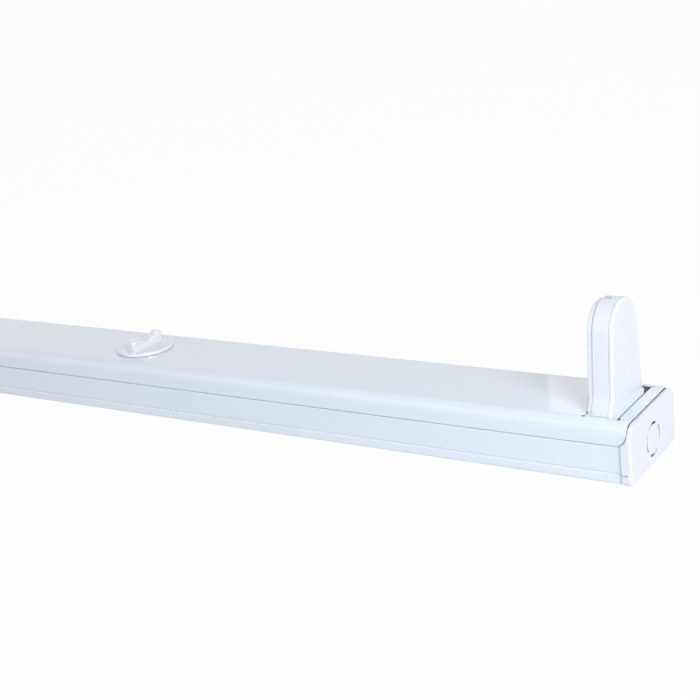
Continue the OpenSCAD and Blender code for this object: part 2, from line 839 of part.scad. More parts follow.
module terminal_block() {
    color("#f5f5f0")
    difference() {
        union() {
            block([block_x - web_l / 2, -block_y, seat_z], [block_x + web_l / 2, block_y, web_top_z]);
            for (k = [-1 : 1])
                block(
                    [block_x - block_l / 2, k * pole_pitch - pole_w / 2, seat_z],
                    [block_x + block_l / 2, k * pole_pitch + pole_w / 2, block_top_z]
                );
        }
        for (k = [-1 : 1]) {
            for (s = [-1, 1])
                rod_z(block_x + s * clamp_x, k * pole_pitch, pole_z, block_top_z + past, clamp_r + run);
            rod_x(block_x - block_l / 2 - past, block_x + block_l / 2 + past, k * pole_pitch, pole_z, pole_r);
        }
        for (i = [2, 3]) {
            rod_z(floor_screws[i][0], floor_screws[i][1], seat_z - past, block_top_z, screw_r + run);
            rod_z(floor_screws[i][0], floor_screws[i][1], web_screw_z, block_top_z, screw_head_r + run);
        }
    }
}

module terminal_screws() {
    top = block_top_z - 1.5;
    color("#cfa64b")
    for (k = [-1 : 1], s = [-1, 1])
        difference() {
            rod_z(block_x + s * clamp_x, k * pole_pitch, pole_z + wire_d / 2, top, clamp_r);
            translate([block_x + s * clamp_x, k * pole_pitch, 0])
                block(
                    [-clamp_r - past, -screw_slot_w / 2, top - screw_slot_d],
                    [clamp_r + past, screw_slot_w / 2, top + past]
                );
        }
}

module terminal_fixing_screws() {
    color("#d8dbe0")
    for (i = [2, 3]) screw(floor_screws[i][0], floor_screws[i][1], web_screw_z);
}

module earth_screw() {
    color("#cfa64b")
    screw(earth_x, earth_y, seat_z + lug_t);
}

// A ring with a tail that points at the end of the earth wire
module earth_lug() {
    color("#c9ced8")
    difference() {
        union() {
            rod_z(earth_x, earth_y, seat_z, seat_z + lug_t, lug_r);
            translate([earth_x, earth_y, seat_z])
                rotate([0, 0, lug_turn])
                    block([0, -lug_w / 2, 0], [lug_l, lug_w / 2, lug_t]);
        }
        rod_z(earth_x, earth_y, seat_z - past, seat_z + lug_t + past, screw_r + run);
    }
}

module wire_live() {
    color("#8a5a36") wire(live_route);
}

module wire_neutral() {
    color("#3f6fb4") wire(neutral_route);
}

module wire_earth() {
    color("#7fae3a") wire(earth_route);
}

module lamp_wires_left() {
    color("#f0f0ee") {
        wire(left_route_a);
        wire(left_route_b);
    }
}

module lamp_wires_right() {
    color("#f0f0ee") {
        wire(right_route_a);
        wire(right_route_b);
    }
}

// A square prism across the fitting that rounds the lower corner at the skirt's end
module skirt_corner() {
    translate([cover_end_x - cover_corner_r, 0, joint_z + cover_corner_r])
        along_y(-half_w - past, half_w + past)
            difference() {
                translate([0, -cover_corner_r - past]) square([cover_corner_r + past, cover_corner_r + past]);
                circle(cover_corner_r);
            }
}

module cover() {
    color("#eef1f8")
    difference() {
        along_x(-cover_end_x, cover_end_x) sheet_section(cover_line, sheet_t);
        for (side = [-1, 1])
            at_end(side) {
                skirt_corner();
                block(
                    [face_x - slot_near, -slot_y, cover_under_z - past],
                    [face_x + slot_far, slot_y, body_h + past]
                );
                for (x = [face_x - slot_near, face_x + slot_far], sy = [-1, 1])
                    rod_z(x, sy * slot_y, cover_under_z - past, body_h + past, slot_relief_r);
            }
        rod_z(0, 0, cover_under_z - past, body_h + past, shaft_d / 2 + cover_gap);
        block(
            [-tongue_l / 2 - tongue_room, -tongue_w / 2 - tongue_room, cover_under_z - past],
            [tongue_l / 2 + tongue_room, tongue_w / 2 + tongue_room, body_h + past]
        );
    }
}

// Right half of the wing seen along the fitting: a raised round tip and a slope to the middle
wing_top_z = body_h + knob_h;
wing_half = concat(
    [[wing_l / 2, dish_z]],
    arc([wing_l / 2 - wing_round_r, wing_top_z - wing_round_r], wing_round_r, 0, 150, 5),
    [[wing_slope_y, wing_top_z - wing_slope_drop], [0, wing_top_z - wing_dip]]
);
module wing_outline() {
    polygon(concat(wing_half, mirrored([for (i = [0 : len(wing_half) - 2]) wing_half[i]])));
}

module wing_knob() {
    tongue_top = bridge_top_z - bracket_t - cover_gap;
    neck_top = cover_under_z - run;
    color("#f7f9fd")
    union() {
        difference() {
            rod_z(0, 0, base_z, base_z + base_t, knob_d / 2);
            rod_z(0, 0, dish_z, base_z + base_t + past, knob_d / 2 - dish_rim);
        }
        along_x(-wing_w / 2, wing_w / 2) wing_outline();
        rod_z(0, 0, neck_top, dish_z, shaft_d / 2);
        rod_z(0, 0, neck_top - washer_t, neck_top, neck_r);
        rod_z(0, 0, tongue_top - tongue_t, neck_top - washer_t, shaft_d / 2);
        block(
            [-tongue_l / 2, -tongue_w / 2, tongue_top - tongue_t],
            [tongue_l / 2, tongue_w / 2, tongue_top]
        );
    }
}

module knob_washer() {
    low = cover_under_z - run - washer_t;
    color("#c9ced8")
    difference() {
        rod_z(0, 0, low, low + washer_t, washer_r);
        rod_z(0, 0, low - past, low + washer_t + past, neck_r + push);
    }
}

base_channel();
cable_grommet();
end_cap(-1);  // end_cap_left
end_cap(1);  // end_cap_right
holder_bracket(-1);  // holder_bracket_left
holder_bracket(1);  // holder_bracket_right
lampholder(-1);  // lampholder_left
lampholder(1);  // lampholder_right
holder_back(-1);  // holder_back_left
holder_back(1);  // holder_back_right
contacts(-1);  // contacts_left
contacts(1);  // contacts_right
rotor(-1);  // rotor_left
rotor(1);  // rotor_right
knob_bridge();
tray_rivets();
ballast_base();
ballast_case();
ballast_terminals();
ballast_screws();
terminal_block();
terminal_screws();
terminal_fixing_screws();
earth_screw();
earth_lug();
wire_live();
wire_neutral();
wire_earth();
lamp_wires_left();
lamp_wires_right();
cover();
wing_knob();
knob_washer();
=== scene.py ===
"""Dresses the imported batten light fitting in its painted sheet, plastic mouldings, gear and wires."""
import json
import math

import bmesh
import bpy
import numpy as np
from mathutils import Matrix, Vector, geometry


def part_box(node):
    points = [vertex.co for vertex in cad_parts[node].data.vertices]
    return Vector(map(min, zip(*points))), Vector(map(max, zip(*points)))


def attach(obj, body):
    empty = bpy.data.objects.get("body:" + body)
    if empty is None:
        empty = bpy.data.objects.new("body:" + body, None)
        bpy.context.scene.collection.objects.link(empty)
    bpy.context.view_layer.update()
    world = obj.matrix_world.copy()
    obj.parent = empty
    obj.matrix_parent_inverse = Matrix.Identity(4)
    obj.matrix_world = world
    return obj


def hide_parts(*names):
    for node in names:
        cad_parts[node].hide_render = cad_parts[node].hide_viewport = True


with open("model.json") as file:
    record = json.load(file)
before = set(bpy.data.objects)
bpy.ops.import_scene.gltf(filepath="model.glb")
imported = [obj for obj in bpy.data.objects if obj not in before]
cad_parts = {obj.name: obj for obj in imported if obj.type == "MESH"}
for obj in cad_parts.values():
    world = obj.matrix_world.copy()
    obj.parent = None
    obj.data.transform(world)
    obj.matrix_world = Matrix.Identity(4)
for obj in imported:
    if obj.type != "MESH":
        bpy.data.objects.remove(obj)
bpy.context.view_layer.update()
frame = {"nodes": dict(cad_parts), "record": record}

# Camera. It looks along the fitting from its right front corner, from a little above. Its place,
# tilt and lens are those at which the fitting's long edges, the cover's slot and the round
# knockout lie as they do in the picture. Lengths in this file are millimetres, as in MM below.
MM = 0.001
camera_at = np.array([546.02, -567.59, 281.93])
azimuth, elevation, roll = np.radians([34.94, 19.04, -7.05])
backward = np.array([
    math.sin(azimuth) * math.cos(elevation),
    -math.cos(azimuth) * math.cos(elevation),
    math.sin(elevation),
])
level = np.array([math.cos(azimuth), math.sin(azimuth), 0.0])
upright = np.cross(backward, level)
sideways = level * math.cos(roll) + upright * math.sin(roll)
upwards = upright * math.cos(roll) - level * math.sin(roll)


def linked(name, data):
    """A new object with the given data, put into the scene."""
    made = bpy.data.objects.new(name, data)
    bpy.context.scene.collection.objects.link(made)
    return made


camera = linked("camera", bpy.data.cameras.new("camera"))
camera.data.sensor_width = 36.0
camera.data.lens = 69.44
camera.data.clip_start = 0.01
camera.matrix_world = Matrix.Translation(camera_at * MM) @ Matrix(
    np.column_stack([sideways, upwards, backward]).tolist()
).to_4x4()
bpy.context.scene.camera = camera

# Base channel. One length of 0.8 mm sheet steel, folded up at both sides. A crease runs along
# each wall, a shoulder near its top carries the cover, and seats for the gear are pressed up
# from the floor. It is pierced, folded and then painted gloss white.


def node_box(name):
    """Lowest and highest corner of a CAD node, in millimetres."""
    low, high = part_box(name)
    return np.array(low) / MM, np.array(high) / MM


def rounded(corners, closed=False, step=12):
    """Points of a line through corners (a, b, radius). An arc of that radius, which touches both
    straight runs, takes each corner's place, in steps of at most the given number of degrees."""
    corners = np.array(corners, float)
    count = len(corners)
    line = []
    for i, (a, b, radius) in enumerate(corners):
        here = np.array([a, b])
        ends = not closed and i in (0, count - 1)
        if ends or radius == 0:
            line.append(here)
            continue
        before = corners[i - 1][:2] - here
        after = corners[(i + 1) % count][:2] - here
        before /= np.linalg.norm(before)
        after /= np.linalg.norm(after)
        turn = math.pi - math.acos(np.clip(before @ after, -1, 1))
        centre = here + (before + after) / np.linalg.norm(before + after) * radius / math.cos(turn / 2)
        spoke = here + before * radius * math.tan(turn / 2) - centre
        way = np.sign(before[1] * after[0] - before[0] * after[1])
        angles = way * np.linspace(0, turn, max(2, math.ceil(math.degrees(turn) / step) + 1))
        line.extend(np.column_stack([
            centre[0] + spoke[0] * np.cos(angles) - spoke[1] * np.sin(angles),
            centre[1] + spoke[0] * np.sin(angles) + spoke[1] * np.cos(angles),
        ]))
    return np.array(line)


def rounded_box_loop(centre, length, width, radius, step=15):
    """A closed rectangle about a centre, with rounded corners."""
    half = np.array([length, width]) / 2
    signs = [(-1, -1), (1, -1), (1, 1), (-1, 1)]
    return rounded([(*(centre + half * s), radius) for s in signs], True, step)


def circle_loop(centre, radius, sides=20):
    """A closed circle: its centre plus a turning radius."""
    turns = np.arange(sides) * math.tau / sides
    return centre + radius * np.column_stack([np.cos(turns), np.sin(turns)])


def blank(loops, lines=(), rings=()):
    """A flat sheet cut from its outline with its holes left open. Delaunay triangles join the
    points of all loops, of open fold lines and of closed rings inside the sheet, and those are
    kept whose middle lies within an odd number of loops."""
    points, edges = [], []
    for path, closed in [(p, True) for p in [*loops, *rings]] + [(p, False) for p in lines]:
        first = len(points)
        count = len(path)
        points.extend(Vector(p) for p in path)
        edges.extend((first + k, first + (k + 1) % count) for k in range(count if closed else count - 1))
    result = geometry.delaunay_2d_cdt(points, edges, [], 0, 1e-5)
    flat = np.array([tuple(p) for p in result[0]])
    triangles = np.array(result[2])
    middle = flat[triangles].mean(1)
    crossings = np.zeros(len(middle), int)
    for loop in loops:
        for (x0, y0), (x1, y1) in zip(loop, np.roll(loop, -1, 0)):
            if y0 == y1:
                continue
            spans = (y0 > middle[:, 1]) != (y1 > middle[:, 1])
            crossings += spans & (middle[:, 0] < x0 + (middle[:, 1] - y0) * (x1 - x0) / (y1 - y0))
    return flat, triangles[crossings % 2 == 1]


def fold_stations(profile):
    """How far along a folded profile each of its points lies."""
    return np.concatenate([[0], np.cumsum(np.linalg.norm(np.diff(profile, axis=0), axis=1))])


def folded(profile, half_run, outline, holes=(), rings=()):
    """A flat blank bent along a profile. The blank's first coordinate runs across the bends and
    stays, and its second is the way along the profile, whose points become fold lines."""
    way = fold_stations(profile)
    lines = [[(-half_run - 1, s), (half_run + 1, s)] for s in way[1:-1]]
    flat, triangles = blank([outline, *holes], lines, rings)
    bent = [np.interp(flat[:, 1], way, profile[:, k]) for k in (0, 1)]
    return np.column_stack([flat[:, 0], *bent]), triangles


def meshed(name, points, faces):
    """A mesh from points in millimetres and faces."""
    mesh = bpy.data.meshes.new(name)
    mesh.from_pydata((np.asarray(points) * MM).tolist(), [], [list(map(int, f)) for f in faces])
    return mesh


def piece(name, points, faces, body, slot=None, replaced=()):
    """A mesh object with its points in millimetres, doubles merged, which rides on a body."""
    mesh = meshed(name, points, faces)
    tidy = bmesh.new()
    tidy.from_mesh(mesh)
    bmesh.ops.remove_doubles(tidy, verts=tidy.verts, dist=2e-6)
    loose = [v for v in tidy.verts if not v.link_faces]
    bmesh.ops.delete(tidy, geom=loose, context="VERTS")
    tidy.to_mesh(mesh)
    tidy.free()
    mesh.shade_smooth()
    made = linked(name, mesh)
    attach(made, body)
    if replaced:
        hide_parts(*replaced)
    return made


def strip_outline(half, length):
    """The outline of a plain strip's blank."""
    return np.array([(-half, 0), (half, 0), (half, length), (-half, length)], float)


def finish_edges(made, width, thickness=0.0, limit=50):
    """Gives a sheet its thickness behind its outer face, and rounds every sharp edge."""
    if thickness:
        solid = made.modifiers.new("thickness", "SOLIDIFY")
        solid.thickness = thickness * MM
        solid.offset = -1
        solid.use_even_offset = True
    soft = made.modifiers.new("edges", "BEVEL")
    soft.width = width * MM
    soft.segments = 2
    soft.limit_method = "ANGLE"
    soft.angle_limit = math.radians(limit)
    soft.use_clamp_overlap = False
    soft.harden_normals = False
    flats = made.modifiers.new("flats", "WEIGHTED_NORMAL")
    flats.weight = 80


def box_distance(a, b, centre, length, width, radius):
    """How far points lie outside a rounded rectangle. Inside it, the distance is negative."""
    qa = np.abs(a - centre[0]) - length / 2 + radius
    qb = np.abs(b - centre[1]) - width / 2 + radius
    return np.hypot(np.maximum(qa, 0), np.maximum(qb, 0)) + np.minimum(np.maximum(qa, qb), 0) - radius


sheet_t = 0.8
cut_edge = 0.12
hair = 0.01
tray_end, half_w, wall_top = node_box("base_channel")[1]
joint_z = node_box("cover")[0][2]
crease_z = 5.4
crease_d = 0.7
crease_r = (0.3, 0.2)
joggle = 1.1
joggle_drop = (0.3, 0.65)
joggle_r = (0.3, 0.5)
fold_r = 1.4
tray_corners = [
    (half_w - joggle, wall_top, 0),
    (half_w - joggle, joint_z - joggle_drop[0], joggle_r[0]),
    (half_w, joint_z - joggle_drop[1], joggle_r[1]),
    (half_w, crease_z + crease_d, crease_r[0]),
    (half_w - crease_d, crease_z, crease_r[1]),
    (half_w, crease_z - crease_d, crease_r[0]),
    (half_w, 0, fold_r),
]
tray_profile = rounded(tray_corners + [(-a, b, r) for a, b, r in reversed(tray_corners)])
tray_way = fold_stations(tray_profile)
tray_middle = tray_way[-1] / 2

# Seats: centre, length, width and corner radius of each flat that is pressed up from the floor
seat_h = 2.4
seat_slope = 1.6
gear_low, gear_high = node_box("ballast_base")
block_low, block_high = node_box("terminal_block")
earth_at = sum(node_box("earth_screw"))[:2] / 2
entry_at = sum(node_box("cable_grommet"))[:2] / 2
block_at = (block_low + block_high)[:2] / 2
flange = 9
screw_hole_r = 1.55
entry_r = 9
seat_r = 2.6
seats = [
    ((gear_low[0] + flange / 2, 0), 11, 17, seat_r),
    ((gear_high[0] - flange / 2, 0), 11, 17, seat_r),
    (block_at, 13, 25, seat_r),
    (earth_at, 9.6, 9.6, seat_r),
    (entry_at, 30, 30, 15),
]
pole_pitch = 9.5
floor_holes = [circle_loop(s[0], screw_hole_r) for s in (seats[0], seats[1], seats[3])]
floor_holes += [circle_loop(block_at + [0, k * pole_pitch / 2], screw_hole_r) for k in (-1, 1)]
floor_holes += [circle_loop(entry_at, entry_r, 48)]
rivet_y = 9
bridge_rivet_in = 4.5
bracket_rivet_in = 6
bridge_high = node_box("knob_bridge")[1]
bracket_low, bracket_high = node_box("holder_bracket_right")
rivet_spots = [
    (sx * x, sy * rivet_y)
    for x in (bridge_high[0] - bridge_rivet_in, bracket_low[0] + bracket_rivet_in)
    for sx in (-1, 1) for sy in (-1, 1)
]
floor_holes += [circle_loop(spot, screw_hole_r) for spot in rivet_spots]
mounts = {m["name"]: m for m in frame["record"]["mounts"]}
slots = mounts["fixing_slots"]["dims"]
slot_w = 2 * slots["hole_r_mm"]
floor_holes += [
    rounded_box_loop((side * slots["spacing_x_mm"] / 2, 0), slots["slot_length_mm"], slot_w,
                     slot_w / 2 - hair)
    for side in (-1, 1)
]


def on_floor(loop):
    """Floor coordinates (x, y) as places on the tray's blank, where the way runs towards -Y."""
    return np.column_stack([np.asarray(loop)[:, 0], tray_middle - np.asarray(loop)[:, 1]])


ramp_steps = np.linspace(0, 1, 5)
seat_rings = [
    on_floor(rounded_box_loop(at, length - 2 * seat_slope * k, width - 2 * seat_slope * k,
                              radius - seat_slope * k, 15 if radius == seat_r else 9))
    for at, length, width, radius in seats for k in ramp_steps
]

# Windows for the end caps' nibs, high in the walls, and two small spot-weld marks in the front one
window_x = (306.7, 310.3)
window_z = (joint_z + 1.3, joint_z + 4.5)
weld_x = (40.5, 46.7)
weld_z = 7.0
weld_r = 1.3
weld_depth = 0.45
weld_steps = np.linspace(0.25, 1, 4)
wall_holes = []
for wall in (1, -1):
    for side in (-1, 1):
        low_s, high_s = sorted(tray_middle - wall * (tray_middle - wall_top + z) for z in window_z)
        low_x, high_x = sorted(side * x for x in window_x)
        wall_holes.append(np.array([(low_x, low_s), (high_x, low_s), (high_x, high_s), (low_x, high_s)]))
front = tray_profile[:, 0] < 0
weld_s = np.interp(-weld_z, -tray_profile[front, 1][::-1], tray_way[front][::-1])
weld_rings = [circle_loop((x, weld_s), weld_r * k, 16) for x in weld_x for k in weld_steps]

tray_points, tray_faces = folded(
    tray_profile, tray_end, strip_outline(tray_end, tray_way[-1]),
    [on_floor(h) for h in floor_holes] + wall_holes, seat_rings + weld_rings,
)
x, y, z = tray_points.T
for at, length, width, radius in seats:
    depth = np.clip(-box_distance(x, y, at, length, width, radius) / seat_slope, 0, 1)
    flat = z < hair
    z[flat] += (seat_h * (3 * depth**2 - 2 * depth**3))[flat]
for weld in weld_x:
    near = np.clip(1 - np.hypot(x - weld, z - weld_z) / weld_r, 0, 1)
    y[y < 0] += (weld_depth * np.sin(math.pi * near) ** 2)[y < 0]
tray = piece("base_channel_sheet", tray_points, tray_faces, "body", "white_sheet", ["base_channel"])
finish_edges(tray, cut_edge, sheet_t)


def place(tree, kind, inputs=None, **settings):
    """Adds a shader node, makes its settings, and gives each named input its value or its link."""
    made = tree.nodes.new("ShaderNode" + kind)
    for key, value in settings.items():
        setattr(made, key, value)
    for key, value in (inputs or {}).items():
        if isinstance(value, bpy.types.NodeSocket):
            tree.links.new(value, made.inputs[key])
        else:
            made.inputs[key].default_value = value
    return made


def pattern_group(name, inputs, outputs):
    """An empty node group with number inputs, (name, value) pairs, and (name, kind) outputs."""
    group = bpy.data.node_groups.new(name, "ShaderNodeTree")
    for title, value in inputs:
        made = group.interface.new_socket(title, in_out="INPUT", socket_type="NodeSocketFloat")
        made.default_value = value
    for title, kind in outputs:
        group.interface.new_socket(title, in_out="OUTPUT", socket_type="NodeSocket" + kind)
    return group, group.nodes.new("NodeGroupInput").outputs, group.nodes.new("NodeGroupOutput").inputs


def noise(tree, where, scale, detail=2.0, roughness=0.5):
    """Noise at object coordinates, which are metres."""
    return place(tree, "TexNoise", {
        "Vector": where, "Scale": scale, "Detail": detail, "Roughness": roughness,
    }).outputs["Fac"]


def blend(tree, fac, low, high):
    """A number that runs from low to high as fac goes from 0.25 to 0.75."""
    return place(tree, "MapRange", {
        "Value": fac, "From Min": 0.25, "From Max": 0.75, "To Min": low, "To Max": high,
    }).outputs["Result"]


# Skin of a smooth finish: a fine peel, a slow waviness, and slight drifts in shade and gloss
skin, skin_in, skin_out = pattern_group(
    "surface_skin",
    [("Peel Scale", 700.0), ("Wave Scale", 22.0), ("Wave Share", 0.7)],
    [("Height", "Float"), ("Shade", "Float"), ("Gloss", "Float")],
)
shade_scale = 9.0
gloss_scale = 140.0
peel_depth = 0.0004
where = place(skin, "TexCoord").outputs["Object"]
peel = noise(skin, where, skin_in["Peel Scale"], 1.5)
wave = noise(skin, where, skin_in["Wave Scale"], 0.5)
heights = place(skin, "Mix", {"Factor": skin_in["Wave Share"], "A": peel, "B": wave})
skin.links.new(heights.outputs["Result"], skin_out["Height"])
skin.links.new(noise(skin, where, shade_scale, 3.0), skin_out["Shade"])
skin.links.new(noise(skin, where, gloss_scale, 3.0, 0.6), skin_out["Gloss"])


def varied(name, pattern, scales, tones, gloss, bump, sockets):
    """A finish whose colour drifts between two tones and whose roughness varies in a band, with
    a bump of the given strength and depth, all after a pattern group. Sockets are set as named."""
    finish = bpy.data.materials.new(name)
    finish.use_nodes = True
    tree = finish.node_tree
    shader = tree.nodes["Principled BSDF"]
    cover = place(tree, "Group", scales, node_tree=pattern).outputs
    tone = place(tree, "Mix", {"Factor": cover["Shade"]}, data_type="RGBA")
    tone.inputs[6].default_value = (*tones[0], 1)
    tone.inputs[7].default_value = (*tones[1], 1)
    tree.links.new(tone.outputs[2], shader.inputs["Base Color"])
    tree.links.new(blend(tree, cover["Gloss"], *gloss), shader.inputs["Roughness"])
    relief = place(tree, "Bump", {"Height": cover["Height"], "Strength": bump[0], "Distance": bump[1]})
    tree.links.new(relief.outputs["Normal"], shader.inputs["Normal"])
    for key, value in sockets.items():
        shader.inputs[key.replace("_", " ")].default_value = value
    return finish


def coated(name, dark, light, gloss, bump, scales, **sockets):
    """A smooth finish with the skin's peel and waviness at the given scales and share."""
    scales = dict(zip(("Peel Scale", "Wave Scale", "Wave Share"), scales))
    return varied(name, skin, scales, (dark, light), gloss, (bump, peel_depth), sockets)


white_paint = coated(
    "gloss_white_paint", (0.74, 0.82, 0.93), (0.765, 0.845, 0.95), (0.1, 0.16), 0.08, (700, 18, 0.75),
    Coat_Weight=1.0, Coat_Roughness=0.03,
)
tray.data.materials.append(white_paint)

# Cover. The same sheet steel, flat on top with rounded long bends and plain skirts that stop on
# the tray's shoulder. It is pierced for both lampholders, with a relief hole in each corner of
# those slots, and for the knob's shaft and tongue. It lifts off.
cover_high = node_box("cover")[1]
cover_end = cover_high[0]
cover_top = cover_high[2]
cover_bend = 6
cover_corners = [(half_w, joint_z, 0), (half_w, cover_top, cover_bend)]
cover_profile = rounded([(-a, b, r) for a, b, r in cover_corners] + cover_corners[::-1], step=9)
cover_way = fold_stations(cover_profile)
cover_middle = cover_way[-1] / 2
skirt_round = 6.5
cover_outline = rounded_box_loop((0, cover_middle), 2 * cover_end, 2 * cover_middle, skirt_round, 10)
foot_low, foot_high = node_box("lampholder_right")
slot_gap = 0.3
slot_near = foot_low[0] - slot_gap
slot_beyond = 1.3
slot_far = foot_high[0] + slot_beyond
slot_half = half_w - cover_bend
relief_r = 1.2


def relieved_slot(low_x, high_x, half, relief):
    """A rectangular slot with a round relief hole about each corner: at every corner the loop
    leaves the straight edge and goes three quarters round the corner's own circle."""
    loop = []
    turns = np.radians(np.linspace(0, 270, 13))
    for x, y, start in [(high_x, half, -90), (low_x, half, 0), (low_x, -half, 90), (high_x, -half, 180)]:
        angles = turns + math.radians(start)
        loop.extend(np.column_stack([x + relief * np.cos(angles), y + relief * np.sin(angles)]))
    return np.array(loop)


shaft_hole_r = 5.3
tongue_hole = (11.5, 3)
bar_turn = math.asin(tongue_hole[1] / shaft_hole_r)
upper = np.linspace(bar_turn, math.pi - bar_turn, 16)
arc_points = shaft_hole_r * np.column_stack([np.cos(upper), np.sin(upper)])
keyhole = np.concatenate([
    [(tongue_hole[0], -tongue_hole[1]), tongue_hole], arc_points,
    [(-tongue_hole[0], tongue_hole[1]), (-tongue_hole[0], -tongue_hole[1])], -arc_points,
])
cover_holes = [relieved_slot(slot_near, slot_far, slot_half, relief_r), keyhole]
cover_holes.append(-cover_holes[0])
cover_points, cover_faces = folded(
    cover_profile, cover_end, cover_outline, [h + [0, cover_middle] for h in cover_holes])
cover_piece = piece("cover_sheet", cover_points, cover_faces, "cover_body", "white_sheet", ["cover"])
finish_edges(cover_piece, cut_edge, sheet_t)
cover_piece.data.materials.append(white_paint)

# End caps. White plastic mouldings that push onto the tray: a plate with softly rounded edges,
# a rim over each of the tray's sides that is split at the crease, a ring of four slits round the
# knockout, and behind the plate a ledge under the cover and a tongue with a nib at each wall.
white_plastic = coated(
    "white_moulding_plastic", (0.77, 0.81, 0.905), (0.79, 0.83, 0.92), (0.26, 0.36), 0.03,
    (420, 26, 0.6),
)


def ring_faces(rings, count):
    """Four-sided faces between closed rings of equally many points, in order."""
    i, j = np.meshgrid(np.arange(rings - 1), np.arange(count), indexing="ij")
    k = (j + 1) % count
    corners = [i * count + j, i * count + k, (i + 1) * count + k, (i + 1) * count + j]
    return np.stack(corners, -1).reshape(-1, 4)


def octants(low, high, radius, steps=3):
    """A block with rounded edges: the eighths of a ball, moved apart to the block's corners.
    Its rows run from pole to pole and its columns round the equator."""
    quarter = np.linspace(0, math.pi / 2, steps + 1)
    tall = np.concatenate([quarter - math.pi / 2, quarter])
    round_ = np.concatenate([quarter + k * math.pi / 2 for k in range(4)])
    v, u = np.meshgrid(tall, round_, indexing="ij")
    ball = np.stack([np.cos(v) * np.cos(u), np.cos(v) * np.sin(u), np.sin(v)], -1)
    columns = np.repeat(np.arange(4), steps + 1)
    sign = np.stack([
        np.broadcast_to(np.where((columns == 0) | (columns == 3), 1, -1), v.shape),
        np.broadcast_to(np.where(columns < 2, 1, -1), v.shape),
        np.broadcast_to(np.repeat([-1, 1], steps + 1)[:, None], v.shape),
    ], -1)
    low, high = np.array(low, float), np.array(high, float)
    points = (low + high) / 2 + sign * ((high - low) / 2 - radius) + radius * ball
    rows, count = v.shape
    faces = ring_faces(rows, count).tolist()
    bottom = [k * (steps + 1) for k in range(4)]
    faces += [bottom[::-1], [(rows - 1) * count + k for k in bottom]]
    return points.reshape(-1, 3), faces


def joined(parts):
    """Several closed shells as one list of points and one of faces."""
    points, faces, first = [], [], 0
    for some, around in parts:
        points.append(some)
        faces.extend([[int(k) + first for k in face] for face in around])
        first += len(some)
    return np.concatenate(points), faces


def quarter(radius, count):
    """Rows (behind the face, in from the side) of a quarter-round edge between face and side."""
    turns = np.radians(np.linspace(0, 90, count))
    return [(radius * (1 - math.cos(t)), radius * (1 - math.sin(t))) for t in turns]


def turned_end(points, side):
    """What is made for the right end, or turned half round about Z for the left end."""
    return points if side == "right" else points * [-1, -1, 1]


cap_face, cap_half, cap_top = node_box("end_cap_right")[1]
cap_t = 2
side_round = 1.4
top_round = 0.45
rim_wall = 0.95
rim_long = 5.2
rim_short = 5
shoulder_gap = 0.5
split_low = 5.1
split_high = 5.7
cap_corner = 7
cap_toe = 1.6
lip = 0.25
corner_turns = np.radians(np.linspace(0, 90, 19))
toe_turns = np.radians(np.linspace(0, 90, 10))
skirt_at = (cover_end - skirt_round, joint_z + skirt_round)
shoulder_r = skirt_round + shoulder_gap


def rim_depth(z):
    """Depth of the rim behind the cap's face at a height: its full length up to the cover, and
    above that what a circle about the skirt's rounded corner leaves, down to the bare plate."""
    rise = np.minimum(z - skirt_at[1], 0)
    edge = skirt_at[0] + math.sqrt(max(shoulder_r**2 - rise**2, 0))
    return float(np.clip(cap_face - edge, cap_t, rim_long))


def cap_side():
    """Right half of the cap's outline seen from its end, from the middle of its bottom to the
    middle of its top: rows of (y, z, outward y, outward z, depth of the skin behind the face).
    The depth steps up to the rim's length and back at its split, and falls off at its shoulder."""
    rows = [(0, 0, 0, -1, cap_t)]
    for turn in toe_turns:
        grow = cap_t + (rim_short - cap_t) * math.sin(turn) ** 0.6
        rows.append((cap_half - cap_toe + cap_toe * math.sin(turn), cap_toe - cap_toe * math.cos(turn),
                     math.sin(turn), -math.cos(turn), grow))
    for z, depth in [(split_low, rim_short), (split_low, cap_t), (split_high, cap_t)]:
        rows.append((cap_half, z, 1, 0, depth))
    for z in np.concatenate([[split_high], np.linspace(joint_z, cap_top - cap_corner, 9)[:-1]]):
        rows.append((cap_half, z, 1, 0, rim_depth(z)))
    for turn in corner_turns:
        z = cap_top - cap_corner + cap_corner * math.sin(turn)
        rows.append((cap_half - cap_corner + cap_corner * math.cos(turn), z,
                     math.cos(turn), math.sin(turn), rim_depth(z)))
    rows.append((0, cap_top, 0, 1, cap_t))
    return np.array(rows)


right_half = cap_side()
left_half = (right_half * [-1, 1, -1, 1, 1])[::-1][1:-1]
stations = np.concatenate([right_half, left_half])
skin_depth = stations[:, 4]
edge_round = side_round + (top_round - side_round) * np.clip(stations[:, 3], 0, 1)
cap_rings = [(b, a) for a, b in quarter(edge_round, 6)]
cap_rings += [(a, skin_depth - b) for a, b in quarter(lip, 3)]
cap_rings += [(rim_wall - b, np.maximum(skin_depth - a, cap_t)) for a, b in quarter(lip, 3)]
cap_rings += [(rim_wall, np.full(len(stations), cap_t))]
skin_points = np.concatenate([
    np.column_stack([
        cap_face - back,
        stations[:, 0] - inset * stations[:, 2],
        stations[:, 1] - inset * stations[:, 3],
    ])
    for inset, back in cap_rings
])
skin_faces = ring_faces(len(cap_rings), len(stations))[:, ::-1]

knockout_z = 12.8
knockout_r = 8.75
slit_w = 1.3
web_t = 0.8
web_r = 10.4
slit_sweep = 68
slit_turn = 3


def slit_loop(turn):
    """One slit of the knockout's ring, centred the given number of degrees from straight down."""
    angles = np.radians(turn + np.linspace(-slit_sweep / 2, slit_sweep / 2, 15))
    spokes = np.column_stack([np.sin(angles), -np.cos(angles)])
    ring = np.concatenate([knockout_r * spokes, (knockout_r - slit_w) * spokes[::-1]])
    return ring + [0, knockout_z]


slits = [slit_loop(90 * k + slit_turn) for k in range(4)]


